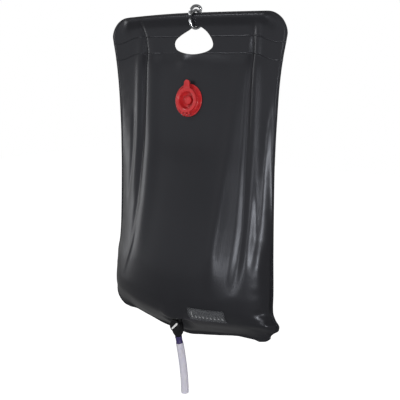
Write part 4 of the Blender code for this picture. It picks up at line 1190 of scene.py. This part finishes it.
def add_lamp(name, place, facing, size, energy):
    lamp = bpy.data.lights.new(name, "AREA")
    lamp.shape = "RECTANGLE"
    lamp.size, lamp.size_y = size
    lamp.energy = energy
    made = add_object(name, lamp)
    made.location = place
    way = Vector((0, 0, facing)) - Vector(place)
    made.rotation_euler = way.to_track_quat("-Z", "Y").to_euler()


def stepped(tree, source, start, end, low, high):
    """A smooth step of a direction's share, between two of its values."""
    return add_node(tree, "ShaderNodeMapRange", {
        "From Min": start, "From Max": end, "To Min": low, "To Max": high, "Value": source},
        interpolation_type="SMOOTHSTEP").outputs["Result"]


def combined(tree, operation, first, second):
    return add_node(tree, "ShaderNodeMath", {0: first, 1: second},
                    operation=operation).outputs["Value"]


def make_world():
    """White to the camera and through clear pieces, a graded grey studio in reflections."""
    world = bpy.data.worlds.new("studio")
    bpy.context.scene.world = world
    world.use_nodes = True
    tree = world.node_tree
    tree.nodes.clear()
    ray = add_node(tree, "ShaderNodeLightPath").outputs
    place = add_node(tree, "ShaderNodeTexCoord").outputs["Generated"]
    way = add_node(tree, "ShaderNodeSeparateXYZ", {"Vector": place}).outputs
    behind = stepped(tree, way["Y"], 0.0, 0.5, 0.08, 0.20)
    risen = stepped(tree, way["Z"], -0.32, -0.02, 0.0, 0.55)
    topped = stepped(tree, way["Z"], 0.13, 0.42, 1.0, 0.25)
    rightwards = stepped(tree, way["X"], 0.0, 0.4, 1.0, 0.35)
    middle = combined(tree, "MULTIPLY", combined(tree, "MULTIPLY", risen, topped), rightwards)
    around = combined(tree, "ADD", behind, middle)
    seen = combined(tree, "MAXIMUM", ray["Is Camera Ray"], ray["Is Transmission Ray"])
    lit = add_node(tree, "ShaderNodeMix", {"A": 0.40, "Factor": ray["Is Glossy Ray"], "B": around})
    strength = combined(tree, "MAXIMUM", seen, lit.outputs["Result"])
    background = add_node(tree, "ShaderNodeBackground", {
        "Color": (1, 1, 1, 1), "Strength": strength})
    add_node(tree, "ShaderNodeOutputWorld", {"Surface": background.outputs["Background"]})


def make_floor():
    """White to the camera apart from the shadow, and darker in reflections."""
    bm = bmesh.new()
    bmesh.ops.create_grid(bm, x_segments=1, y_segments=1, size=8.0)
    floor = add_object("floor", mesh_of("floor", bm))
    floor.location = (0, 0, -1.5)
    look = bpy.data.materials.new("pale floor")
    look.use_nodes = True
    tree = look.node_tree
    ray = add_node(tree, "ShaderNodeLightPath").outputs
    glow = combined(tree, "MULTIPLY", ray["Is Camera Ray"], 0.75)
    shader = tree.nodes["Principled BSDF"]
    fill(tree, shader, {"Base Color": (0.85, 0.85, 0.85, 1.0), "Roughness": 0.9,
                        "Emission Color": (1, 1, 1, 1), "Emission Strength": glow})
    dim = add_node(tree, "ShaderNodeEmission", {"Strength": 0.22})
    either = add_node(tree, "ShaderNodeMixShader", {
        "Fac": ray["Is Glossy Ray"], 1: shader.outputs["BSDF"], 2: dim.outputs["Emission"]})
    fill(tree, tree.nodes["Material Output"], {"Surface": either.outputs["Shader"]})
    floor.data.materials.append(look)


def make_studio():
    for lamp in LAMPS:
        add_lamp(*lamp)
    make_world()
    make_floor()
    bpy.context.scene.view_settings.view_transform = "Standard"


make_camera()
make_hose()
make_sheets()
make_hook()
make_filler_flange()
make_filler_lid()
make_strip()
make_tap()
make_collar()
dress_nodes()
make_studio()
